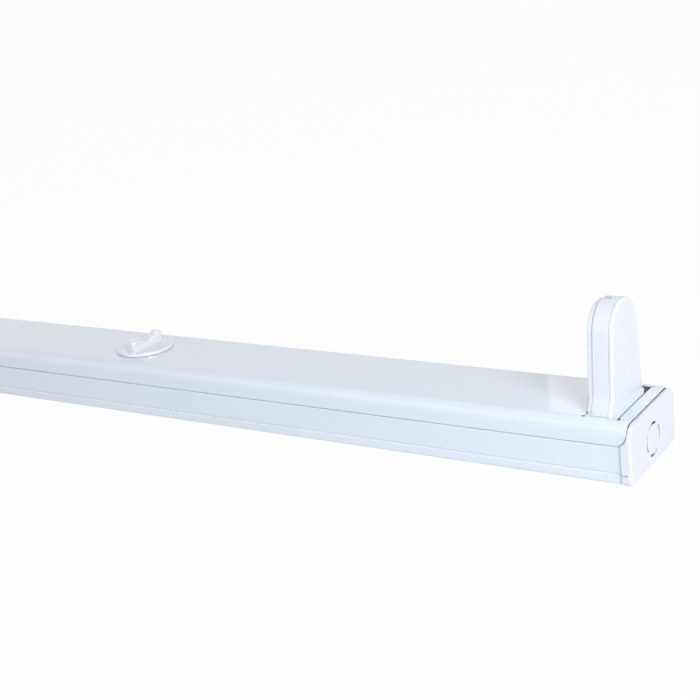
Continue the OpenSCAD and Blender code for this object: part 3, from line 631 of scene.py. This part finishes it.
def cap_flat(ring, holes, x, towards):
    """A flat at one depth inside a ring, with its holes left open."""
    keep = np.linalg.norm(ring - np.roll(ring, 1, 0), axis=1) > 1e-6
    flat, triangles = blank([ring[keep], *holes])
    return np.column_stack([np.full(len(flat), x), flat]), triangles[:, ::towards]


# The plate is thin round the knockout: a recess in its back leaves a web that the slits go through
outer_ring, inner_ring = (
    stations[:, :2] - np.reshape(inset, (-1, 1)) * stations[:, 2:4] for inset in (edge_round, rim_wall))
web_loop = circle_loop((0, knockout_z), web_r, 48)
cap_shells = [
    (skin_points, skin_faces),
    cap_flat(outer_ring, slits, cap_face, 1),
    cap_flat(inner_ring, [web_loop], cap_face - cap_t, -1),
    cap_flat(web_loop, slits, cap_face - web_t, -1),
]
for loop, depth, towards in [(web_loop[::-1], (web_t, cap_t), 1)] + [(s, (0, web_t), 1) for s in slits]:
    walls = [np.column_stack([np.full(len(loop), cap_face - x), loop]) for x in depth]
    cap_shells.append((np.concatenate(walls), ring_faces(2, len(loop))[:, ::towards]))

# Blocks behind the plate, as rows of (two depths behind the face, two sides, low, high, edge
# radius): a tongue and its nib along each wall, a ledge under the cover and one on the floor
sunk = cap_t - 0.3
wall_in = half_w - joggle - sheet_t
beside_wall = [
    (14, sunk, wall_in - 1.6, wall_in - 0.05, joint_z + 0.6, 25, 0.4),
    (13, 10, wall_in - 0.5, wall_in + sheet_t - 0.1, joint_z + 1.6, joint_z + 4.2, 0.3),
]
blocks = [(a, b, *sorted([w * c, w * d]), *rest) for w in (-1, 1) for a, b, c, d, *rest in beside_wall]
blocks += [(7.5, sunk, -21, 21, 27.2, 28.6, 0.4), (7.5, sunk, -12, 12, 0.85, 2.35, 0.4)]
for deep, back, left, right, low, high, radius in blocks:
    cap_shells.append(octants((cap_face - deep, left, low), (cap_face - back, right, high), radius))
cap_points, cap_faces = joined(cap_shells)


def both_ends(node, form, points, faces, slot, finish, width, thickness=0.0, limit=50):
    """A piece for the right end and one, turned half round, for the left, edges and finish done."""
    for side in ("right", "left"):
        made = piece(f"{node}_{side}_{form}", turned_end(points, side), faces, "body", slot,
                     [f"{node}_{side}"])
        finish_edges(made, width, thickness, limit)
        made.data.materials.append(finish)


both_ends("end_cap", "moulding", cap_points, cap_faces, "white_moulding", white_plastic, 0.06, limit=60)

# Lampholder brackets. Zinc-plated strip, 1 mm thick, folded into a step: a foot on the tray's
# floor, a wall with a window for the wires, a shelf with the lampholder's opening, and a leg
# down at the end. Two rivets hold each foot.
zinc_tone, zinc_in, zinc_out = pattern_group(
    "zinc_plating", [("Spangle Scale", 260.0)],
    [("Shade", "Float"), ("Gloss", "Float"), ("Height", "Float")])
where = place(zinc_tone, "TexCoord").outputs["Object"]
spangle = place(zinc_tone, "TexVoronoi", {"Vector": where, "Scale": zinc_in["Spangle Scale"]})
grain = place(zinc_tone, "Mix", {
    "Factor": 0.6, "A": spangle.outputs["Distance"], "B": noise(zinc_tone, where, 60.0, 4.0),
}).outputs["Result"]
zinc_tone.links.new(blend(zinc_tone, grain, 0, 1), zinc_out["Shade"])
zinc_tone.links.new(grain, zinc_out["Gloss"])
zinc_tone.links.new(noise(zinc_tone, where, 1800.0, 2.0), zinc_out["Height"])


def plated(name, dark, light, gloss, scale):
    """A plated or rolled metal: its tone and its gloss vary from grain to grain."""
    metal = {"Metallic": 1.0}
    return varied(name, zinc_tone, {"Spangle Scale": scale}, (dark, light), gloss, (0.15, 0.0002), metal)


zinc = plated("zinc_plated_steel", (0.56, 0.58, 0.61), (0.72, 0.74, 0.77), (0.28, 0.42), 260)
strip_t = 1
bend_r = 1.5
shelf_z = bracket_high[2]
bracket_foot = 12
foot_x = bracket_low[0] + bracket_foot
bracket_half = bracket_high[1]
bracket_profile = rounded([
    (bracket_low[0], sheet_t + strip_t, 0), (foot_x, sheet_t + strip_t, bend_r - strip_t),
    (foot_x, shelf_z, bend_r), (bracket_high[0], shelf_z, bend_r), (bracket_high[0], sheet_t, 0),
])
bracket_way = fold_stations(bracket_profile)


def along(profile, way, axis, value, after=0.0):
    """The way along a profile at which one of its coordinates first reaches a value."""
    later = way >= after
    track = profile[later, axis]
    step = np.nonzero((track[:-1] - value) * (track[1:] - value) <= 0)[0][0]
    share = (value - track[step]) / (track[step + 1] - track[step])
    return way[later][step] + share * (way[later][step + 1] - way[later][step])


def crosswise(points):
    """A folded strip's points with its bends laid across the fitting instead of along it."""
    return np.column_stack([points[:, 1], -points[:, 0], points[:, 2]])


# The wires' window in the wall: heights and half width. The holder's opening in the shelf: places
# behind the holder's face, which lies a little behind the front of its foot, and half width.
wire_window = (2.9, 16)
window_half = 11
shelf_opening = (3.05, 9.35)
opening_half = 10.15
foot_lead = 0.5
face_x = foot_low[0] + foot_lead
foot_hole = along(bracket_profile, bracket_way, 0, bracket_low[0] + bracket_rivet_in)
sill, head = (along(bracket_profile, bracket_way, 1, z, bracket_foot) for z in wire_window)
shelf_start = along(bracket_profile, bracket_way, 1, shelf_z, bracket_foot)
near, far = (along(bracket_profile, bracket_way, 0, face_x + x, shelf_start) for x in shelf_opening)
bracket_holes = [circle_loop((s * rivet_y, foot_hole), screw_hole_r) for s in (-1, 1)]
window_corners = [(-window_half, sill), (window_half, sill), (window_half, head), (-window_half, head)]
bracket_holes.append(rounded([(*corner, 1) for corner in window_corners], True, 30))
bracket_holes.append(np.array([
    (-opening_half, near), (opening_half, near), (opening_half, far), (-opening_half, far),
]))
bent_points, bent_faces = folded(
    bracket_profile, bracket_half, strip_outline(bracket_half, bracket_way[-1]), bracket_holes)
both_ends("holder_bracket", "strip", crosswise(bent_points), bent_faces, "zinc_steel", zinc,
          cut_edge, strip_t)

# Knob bridge. The same strip, folded into a bridge over the tray's middle. Its opening lets the
# knob's tongue down in line with the fitting and keeps it when the knob is turned.
bridge_top = bridge_high[2]
bridge_half = bridge_high[1]
bridge_foot = 10
bridge_x = bridge_high[0] - bridge_foot
bridge_corners = [
    (bridge_high[0], sheet_t + strip_t, 0), (bridge_x, sheet_t + strip_t, bend_r - strip_t),
    (bridge_x, bridge_top, bend_r),
]
bridge_profile = rounded([(-a, b, r) for a, b, r in bridge_corners] + bridge_corners[::-1])
bridge_way = fold_stations(bridge_profile)
bridge_middle = bridge_way[-1] / 2
round_r = 7.8
fan_r = 11.5
fan_y = 3.5
fan_rise = 0.23
reach = [max(t for t in np.linspace(0, r, 400) if t * t + (fan_y + fan_rise * t) ** 2 <= r * r)
         for r in (round_r, fan_r)]
inner_turn, outer_turn = (math.atan2(fan_y + fan_rise * t, t) for t in reach)
fan_arc = np.linspace(-outer_turn, outer_turn, 9)
hub_arc = np.linspace(inner_turn, math.pi - inner_turn, 15)
half_opening = np.concatenate([
    fan_r * np.column_stack([np.cos(fan_arc), np.sin(fan_arc)]),
    round_r * np.column_stack([np.cos(hub_arc), np.sin(hub_arc)]),
])
opening = np.concatenate([half_opening, -half_opening])
bridge_holes = [np.column_stack([-opening[:, 1], opening[:, 0] + bridge_middle])]
bridge_holes += [circle_loop((s * rivet_y, way), screw_hole_r)
                 for s in (-1, 1) for way in (bridge_rivet_in, bridge_way[-1] - bridge_rivet_in)]
bent_points, bent_faces = folded(
    bridge_profile, bridge_half, strip_outline(bridge_half, bridge_way[-1]), bridge_holes)
bridge = piece("knob_bridge_strip", crosswise(bent_points), bent_faces, "body", "zinc_steel",
               ["knob_bridge"])
finish_edges(bridge, cut_edge, strip_t)
bridge.data.materials.append(zinc)

# Lampholders. White mouldings that stand through the cover's slots on a foot. Each is an arch over
# the lamp's axis with a raised bezel towards the lamp, a slot in from above for the two pins, a
# round hole for the rotor, and a foot whose front flares out to the slot's near edge.
socket_z = mounts["lamp_socket_right"]["pos_m"][2] / MM
holder_r = foot_high[2] - socket_z
holder_half = 19
holder_foot = cover_top - 0.2
bezel_t = 2.7
bezel_inset = 1.2
body_end = 10.7
holder_t = 13
rotor_hole_r = 8.7
pin_slot_half = 1.625
pin_slot_depth = 7.5
bezel_share = 0.45
front_t = 2.8
holder_wall = 1.6
rear_round = 0.15
bore_depth = 5
past = 5
foot_solid = 5
foot_back = 19.3
flange_reach = 15.4
flange_back = 13.3
flange_t = 1.2
foot_front = slot_half - slot_gap
flare_face = foot_front - 0.6
# Front of the foot, as rows of (distance from the middle, height): a lip in the slot, an upright
# face and a straight chamfer. The back plate's chamfer runs down to the slot in one.
body_foot = [(foot_front, holder_foot), (foot_front, cover_top + 0.5), (flare_face, cover_top + 0.6),
             (flare_face, cover_top + 2.8)]
plate_foot = [(foot_front, holder_foot), (foot_front, cover_top + 0.2)]
flare_top = cover_top + 7.2
flare_from = 1.3


def taper(z):
    """Half the holder's width at a height, which falls evenly from its foot to the lamp's axis."""
    return holder_half + (holder_r - holder_half) * (z - holder_foot) / (socket_z - holder_foot)


def holder_loop(inset, foot=(), share=1.0, beside=1.0):
    """The holder's outline seen from its end, from the front foot over the arch to the back
    foot: tapering sides and a half circle, moved in by the inset along its own outward normals,
    and beside the arch's top by no more than a share of it. The foot's rows stand out from the
    front side by the given share of their distance."""
    sides = np.concatenate([[holder_foot, flare_top], np.linspace(flare_top, socket_z, 12)[1:]])
    aside = inset * beside
    back_side = np.column_stack([taper(sides) - aside, sides])[::-1]
    front_side = np.column_stack([aside - taper(sides), sides])
    if len(foot):
        out, z = np.array(foot, float).T
        toe = np.column_stack([aside - taper(z) - share * (out - taper(z)), z])
        front_side = np.concatenate([toe, front_side[1:]])
    turns = np.radians(np.linspace(180, 0, 37))[1:-1]
    over = (holder_r - inset * (beside + (1 - beside) * np.sin(turns)))[:, None]
    arch = over * np.column_stack([np.cos(turns), np.sin(turns)]) + [0, socket_z]
    return np.concatenate([front_side, arch, back_side])


def stacked(rings):
    """A closed solid from (x, closed loop) rings in order of rising x, with flat ends. A loop
    that runs clockwise, whose sum of cross products is negative, is turned round first."""
    first = np.asarray(rings[0][1])
    after = np.roll(first, -1, 0)
    way = 1 if np.sum(first[:, 0] * after[:, 1] - first[:, 1] * after[:, 0]) > 0 else -1
    count = len(first)
    points = np.concatenate([np.column_stack([np.full(count, x), loop[::way]]) for x, loop in rings])
    ends = [list(range(count))[::-1], list(range((len(rings) - 1) * count, len(rings) * count))]
    return points, ring_faces(len(rings), count).tolist() + ends


def evaluated(made):
    """A copy of an object's mesh with its modifiers applied."""
    graph = bpy.context.evaluated_depsgraph_get()
    return bpy.data.meshes.new_from_object(made.evaluated_get(graph), depsgraph=graph)


def cut(made, cutters, operation="DIFFERENCE"):
    """Cuts closed shapes, each points and faces in millimetres, out of a piece one by one, or
    with the operation UNION welds them to it."""
    for points, faces in cutters:
        tool_mesh = meshed("cutter", points, faces)
        tool = linked("cutter", tool_mesh)
        knife = made.modifiers.new("cut", "BOOLEAN")
        knife.operation = operation
        knife.solver = "EXACT"
        knife.object = tool
        bpy.context.view_layer.update()
        after = evaluated(made)
        made.modifiers.remove(knife)
        before = made.data
        made.data = after
        bpy.data.meshes.remove(before)
        bpy.data.objects.remove(tool)
        bpy.data.meshes.remove(tool_mesh)
    made.data.shade_smooth()


step_round = 0.5
holder_rings = [(a, bezel_inset + b) for a, b in quarter(step_round, 4)]
holder_rings += [(x, bezel_inset) for x in (0.9, flare_from, bezel_t)]
holder_rings += [(bezel_t + a, b) for a, b in quarter(step_round, 4)]
holder_rings += [(body_end - rear_round, 0), (body_end, rear_round)]
holder_shell = stacked([
    (face_x + x, holder_loop(inset, body_foot, math.sqrt(1 - (1 - min(x / flare_from, 1)) ** 2),
                             bezel_share))
    for x, inset in holder_rings
])


def pin_slot(low_z, high_z):
    """What the slot for the lamp's pins takes away between two heights, from before the face in."""
    return octants((face_x - past, -pin_slot_half, low_z),
                   (face_x + pin_slot_depth, pin_slot_half, high_z), 0.05, 1)


hole_loop = circle_loop((0, socket_z), rotor_hole_r, 64)
rotor_bore = stacked([(face_x - past, hole_loop), (face_x + bore_depth, hole_loop)])
cavity_floor = holder_foot + foot_solid
inner_loop = holder_loop(holder_wall)
inner_loop = inner_loop[inner_loop[:, 1] > cavity_floor]
inner_loop = np.concatenate([[(inner_loop[0][0], cavity_floor)], inner_loop,
                             [(inner_loop[-1][0], cavity_floor)]])
cavity = stacked([(face_x + front_t, inner_loop), (face_x + body_end + past, inner_loop)])
flange_far = face_x + flange_reach
flange_loop = np.array([
    (face_x + body_end, -foot_front), (flange_far, -foot_front), (flange_far, flange_back),
    (face_x + holder_t + 0.3, foot_back), (face_x + body_end, foot_back),
])
flange_points, flange_faces = stacked([
    (holder_foot - flange_t, flange_loop), (holder_foot, flange_loop),
])

# Blocks of the foot, as rows of (start and end behind the face, two sides, low, high): the foot,
# the peg through the shelf's opening and the peg's two hooks
foot_blocks = [(flange_points[:, [1, 2, 0]], flange_faces)]
for near, far, left, right, low, high in [
    (-foot_lead, holder_t, -foot_front, foot_back, shelf_z, holder_foot + 0.05),
    (3.2, 9.2, -10, 10, shelf_z - 4, shelf_z + 0.5),
    (2.4, 3.6, -8, 8, shelf_z - 4, shelf_z - 1.05),
    (8.8, 10, -8, 8, shelf_z - 4, shelf_z - 1.05),
]:
    foot_blocks.append(octants((face_x + near, left, low), (face_x + far, right, high), 0.3))


def turned_shape(shape, side):
    """A shape's points turned to their end of the fitting, with its faces as they are."""
    return turned_end(shape[0], side), shape[1]


for side in ("right", "left"):
    shell = piece("shell", turned_end(holder_shell[0], side), holder_shell[1], "body")
    cutters = (rotor_bore, pin_slot(socket_z, socket_z + 30), cavity)
    cut(shell, [turned_shape(tool, side) for tool in cutters])
    shell_points = np.empty(len(shell.data.vertices) * 3)
    shell.data.vertices.foreach_get("co", shell_points)
    shell_faces = [list(f.vertices) for f in shell.data.polygons]
    parts = [(shell_points.reshape(-1, 3) / MM, shell_faces)]
    parts += [turned_shape(block, side) for block in foot_blocks]
    bpy.data.objects.remove(shell)
    holder = piece("lampholder_" + side + "_moulding", *joined(parts), "body", "white_moulding",
                   ["lampholder_" + side])
    finish_edges(holder, 0.15, limit=55)
    holder.data.materials.append(white_plastic)

# Lampholder back plates. The same white plastic: a plate that closes the holder's outer side,
# with its edge rounded over and a fine seam between it and the body.
seam = 0.25
back_round = 1.2
back_rings = [(body_end + 0.02, seam), (body_end + 0.17, seam), (body_end + 0.37, 0)]
back_rings += [(holder_t - b, a) for a, b in quarter(back_round, 7)]
back_shell = stacked([(face_x + x, holder_loop(inset, plate_foot)) for x, inset in back_rings])
both_ends("holder_back", "plate", *back_shell, "white_moulding", white_plastic, 0.1, limit=55)

# Rotors. White plastic drums that turn in the lampholders with the lamp: a round face flush with
# the bezel, a flange behind it, and a slot right across for the two pins.


def lathed(profile, sides=64):
    """A profile of (radius, height) turned about Z. Points on the axis become poles."""
    turns = np.arange(sides) * math.tau / sides
    radius, height = np.asarray(profile, float).T
    points = np.stack([
        np.outer(radius, np.cos(turns)), np.outer(radius, np.sin(turns)),
        np.repeat(height[:, None], sides, 1),
    ], -1)
    return points.reshape(-1, 3), ring_faces(len(profile), sides)


rotor_r = 8.6
drum_profile = rounded([
    (0, 0, 0), (rotor_r, 0, 0.4), (rotor_r, 2.9, 0), (rotor_r + 1, 2.9, 0.2), (rotor_r + 1, 3.9, 0.2),
    (7.2, 3.9, 0.2), (7.2, 9.1, 0.3), (2.5, 9.1, 0), (2.5, 11.5, 0.3), (0, 11.5, 0),
], step=30)
drum, drum_faces = lathed(drum_profile)
drum = np.column_stack([drum[:, 2] + face_x, drum[:, 0], drum[:, 1] + socket_z])
for side in ("right", "left"):
    rotor = piece("rotor_" + side + "_drum", turned_end(drum, side), drum_faces,
                  "rotor_" + side + "_body", "white_moulding", ["rotor_" + side])
    cut(rotor, [turned_shape(pin_slot(socket_z - 15, socket_z + 15), side)])
    finish_edges(rotor, 0.15, limit=50)
    rotor.data.materials.append(white_plastic)

# Cover knob. Clear, slightly milky plastic: a dished disc with a rim and a wing to turn it by on
# top, and below it a shaft through the cover, a groove for the washer and the locking tongue.
knob_low, knob_high = node_box("wing_knob")
disc_r = knob_high[0]
disc_gap = 0.15
disc_t = 2
dish_d = 0.8
disc_low = cover_top + disc_gap
disc_top = disc_low + disc_t
dish = disc_top - dish_d
shaft_r = 5
neck_r = 4.4
neck_low, neck_high = 29.4, 30.1
tongue_h = 2.5
tongue_low = knob_low[2]
knob_profile = rounded([
    (0, tongue_low, 0), (shaft_r, tongue_low, 0.3), (shaft_r, neck_low, 0.2), (neck_r, neck_low, 0),
    (neck_r, neck_high, 0), (shaft_r, neck_high, 0.2), (shaft_r, disc_low, 0.2), (disc_r, disc_low, 0.4),
    (disc_r, disc_top, 0.7), (disc_r - 1.6, disc_top, 0.5), (disc_r - 2.2, dish, 0.6), (0, dish, 0),
], step=20)
wing_half = 13
wing_top = knob_high[2]
wing_w = 6
wing_round = 1.7
wing_root = 0.3
wing_corners = [
    (wing_half, dish - wing_root, 0), (wing_half, wing_top, 2), (wing_half - 3.8, wing_top, 2),
    (wing_half - 5.4, wing_top - 1.8, 0.8),
]
wing_outline = rounded(
    wing_corners + [(0, wing_top - 3.2, 4)] + [(-a, b, r) for a, b, r in wing_corners[::-1]], True, 10)


def wing_loop(inset):
    """The wing's outline seen along the fitting, with two raised round tips and a lower middle,
    each point moved in along its normal, which is square to the line from the point before it
    to the point after it. The points at the wing's root keep their height."""
    along_loop = np.roll(wing_outline, -1, 0) - np.roll(wing_outline, 1, 0)
    outwards = np.column_stack([along_loop[:, 1], -along_loop[:, 0]])
    moved = wing_outline - inset * outwards / np.linalg.norm(outwards, axis=1)[:, None]
    moved[wing_outline[:, 1] < dish, 1] = dish - wing_root
    return moved


wing_rings = [(a - wing_w / 2, b) for a, b in quarter(wing_round, 6)]
wing_rings += [(-x, inset) for x, inset in reversed(wing_rings)]
wing = stacked([(x, wing_loop(inset)) for x, inset in wing_rings])
tongue = octants((-11, -2.5, tongue_low), (11, 2.5, tongue_low + tongue_h), 0.4)
knob = piece("wing_knob_moulding", *lathed(knob_profile, 96), "knob_body", "clear_white_knob",
             ["wing_knob"])
cut(knob, [wing, tongue], "UNION")
finish_edges(knob, 0.08, limit=60)
knob_plastic = coated(
    "milky_clear_plastic", (0.9, 0.945, 1.0), (0.92, 0.96, 1.0), (0.05, 0.1), 0.05, (500, 60, 0.5),
    Transmission_Weight=0.12, IOR=1.46, Coat_Weight=1.0, Coat_Roughness=0.05,
)
knob.data.materials.append(knob_plastic)

# Gear, fasteners and wires inside. Their solids are right as they are, so each gets a copy with
# its loose triangles merged and its edges softened, or, for a wire, rounded all along.


def softened(node, width, body, smooth=0):
    """A copy of a CAD node's mesh, merged, with flat faces joined up and its edges rounded."""
    mesh = frame["nodes"][node].data.copy()
    tidy = bmesh.new()
    tidy.from_mesh(mesh)
    bmesh.ops.remove_doubles(tidy, verts=tidy.verts, dist=1e-6)
    if smooth:
        any_angle = 3.1
        bmesh.ops.join_triangles(tidy, faces=tidy.faces, angle_face_threshold=any_angle,
                                 angle_shape_threshold=any_angle)
    else:
        bmesh.ops.dissolve_limit(tidy, angle_limit=math.radians(1), verts=tidy.verts, edges=tidy.edges)
    tidy.to_mesh(mesh)
    tidy.free()
    mesh.materials.clear()
    mesh.shade_smooth()
    made = linked(node + "_finished", mesh)
    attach(made, body)
    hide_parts(node)
    if smooth:
        rounder = made.modifiers.new("round", "SUBSURF")
        rounder.levels = rounder.render_levels = smooth
    else:
        finish_edges(made, width, limit=40)
    return made


brass = plated("brass", (0.66, 0.47, 0.2), (0.82, 0.62, 0.3), (0.24, 0.36), 400)
ballast_paint = coated(
    "ballast_white_lacquer", (0.74, 0.75, 0.77), (0.78, 0.79, 0.8), (0.3, 0.4), 0.3, (900, 40, 0.4))
natural_plastic = coated(
    "natural_polyamide", (0.78, 0.77, 0.7), (0.84, 0.83, 0.77), (0.35, 0.48), 0.25, (1100, 60, 0.3))
rubber = coated(
    "black_rubber", (0.018, 0.018, 0.02), (0.035, 0.035, 0.038), (0.5, 0.68), 0.5, (900, 90, 0.4))
pvc = {
    "brown_insulation": ("brown_pvc", (0.16, 0.07, 0.03), (0.2, 0.09, 0.04)),
    "blue_insulation": ("blue_pvc", (0.03, 0.12, 0.42), (0.05, 0.16, 0.5)),
    "green_yellow_insulation": ("green_yellow_pvc", (0.1, 0.35, 0.06), (0.14, 0.42, 0.08)),
    "white_insulation": ("white_pvc", (0.76, 0.76, 0.74), (0.82, 0.82, 0.8)),
}
insulation = {slot: coated(*tones, (0.3, 0.4), 0.3, (1500, 80, 0.4)) for slot, tones in pvc.items()}
gear = [
    ("tray_rivets", 0.25, "body", "zinc_steel", zinc),
    ("ballast_base", 0.12, "body", "zinc_steel", zinc),
    ("ballast_case", 0.2, "body", "ballast_sheet", ballast_paint),
    ("ballast_terminals", 0.25, "body", "natural_moulding", natural_plastic),
    ("ballast_screws", 0.2, "body", "zinc_steel", zinc),
    ("terminal_block", 0.25, "body", "natural_moulding", natural_plastic),
    ("terminal_screws", 0.12, "body", "brass", brass),
    ("terminal_fixing_screws", 0.2, "body", "zinc_steel", zinc),
    ("earth_screw", 0.2, "body", "brass", brass),
    ("earth_lug", 0.12, "body", "zinc_steel", zinc),
    ("cable_grommet", 0.3, "body", "grommet_rubber", rubber),
    ("contacts_left", 0.06, "body", "brass", brass),
    ("contacts_right", 0.06, "body", "brass", brass),
    ("knob_washer", 0.1, "knob_body", "zinc_steel", zinc),
]
for node, width, body, slot, finish in gear:
    softened(node, width, body).data.materials.append(finish)
wires = [
    ("wire_live", "brown_insulation"), ("wire_neutral", "blue_insulation"),
    ("wire_earth", "green_yellow_insulation"), ("lamp_wires_left", "white_insulation"),
    ("lamp_wires_right", "white_insulation"),
]
for node, slot in wires:
    softened(node, 0, "body", 2).data.materials.append(insulation[slot])

# Floor, lamps and surroundings. A wide floor under the fitting and a surround, both seen as white,
# and soft lamps to its right, in front and above. The reflection of a strip runs along the front
# bend, and that of a small panel lies beside the lampholder.
floor_half = 4000
floor_z = -0.05
floor_glow = 0.96
room_light = 0.38


def seen_rays(tree):
    """1 for rays from the camera, off gloss or through glass, and 0 for those that carry light."""
    rays = place(tree, "LightPath").outputs
    seen = place(tree, "Math", {0: rays["Is Camera Ray"], 1: rays["Is Glossy Ray"]}, operation="MAXIMUM")
    seen = place(tree, "Math", {0: seen.outputs[0], 1: rays["Is Transmission Ray"]}, operation="MAXIMUM")
    return seen.outputs[0]


floor_corners = [(a * floor_half, b * floor_half, floor_z)
                 for a, b in [(-1, -1), (1, -1), (1, 1), (-1, 1)]]
floor = linked("floor", meshed("floor", floor_corners, [(0, 1, 2, 3)]))
floor_finish = bpy.data.materials.new("white_floor")
floor_finish.use_nodes = True
tree = floor_finish.node_tree
tree.nodes.remove(tree.nodes["Principled BSDF"])
share = place(tree, "Math", {0: seen_rays(tree), 1: floor_glow}, operation="MULTIPLY")
dull = place(tree, "BsdfDiffuse", {"Color": (0.75, 0.76, 0.78, 1)})
plain = place(tree, "Emission", {"Color": (1, 1, 1, 1), "Strength": 1.0})
both = place(tree, "MixShader", {0: share.outputs[0], 1: dull.outputs[0], 2: plain.outputs[0]})
tree.links.new(both.outputs[0], tree.nodes["Material Output"].inputs["Surface"])
floor.data.materials.append(floor_finish)

world = bpy.data.worlds.new("surround")
bpy.context.scene.world = world
world.use_nodes = True
tree = world.node_tree
strength = place(tree, "MapRange", {"Value": seen_rays(tree), "To Min": room_light, "To Max": 1.0})
tree.links.new(strength.outputs[0], tree.nodes["Background"].inputs["Strength"])
tree.nodes["Background"].inputs["Color"].default_value = (1, 1, 1, 1)

lamps = [
    # name, place, aim, width, height, power in watts, colour
    ("key_lamp", (1100, -600, 650), (100, 0, 30), 600, 600, 11.4, (1, 1, 1)),
    ("front_lamp", (300, -1800, 800), (100, 0, 30), 1400, 1400, 3.7, (0.95, 0.975, 1)),
    ("top_lamp", (0, 300, 1700), (100, 0, 30), 1400, 1400, 1.3, (0.95, 0.975, 1)),
    ("bend_strip", (-1250, -1500, 1210), (-1250, 0, 30), 2000, 110, 1.5, (1, 1, 1)),
    ("back_panel", (-409, 1500, 700), (-409, 0, 700), 128, 220, 0.05, (1, 0.98, 0.98)),
]
for name, at, aim, width, height, power, tint in lamps:
    lamp = linked(name, bpy.data.lights.new(name, "AREA"))
    lamp.data.shape = "RECTANGLE"
    lamp.data.size = width * MM
    lamp.data.size_y = height * MM
    lamp.data.energy = power
    lamp.data.color = tint
    lamp.location = Vector(at) * MM
    lamp.rotation_euler = (Vector(aim) - Vector(at)).to_track_quat("-Z", "Y").to_euler()
bpy.context.scene.view_settings.view_transform = "Standard"
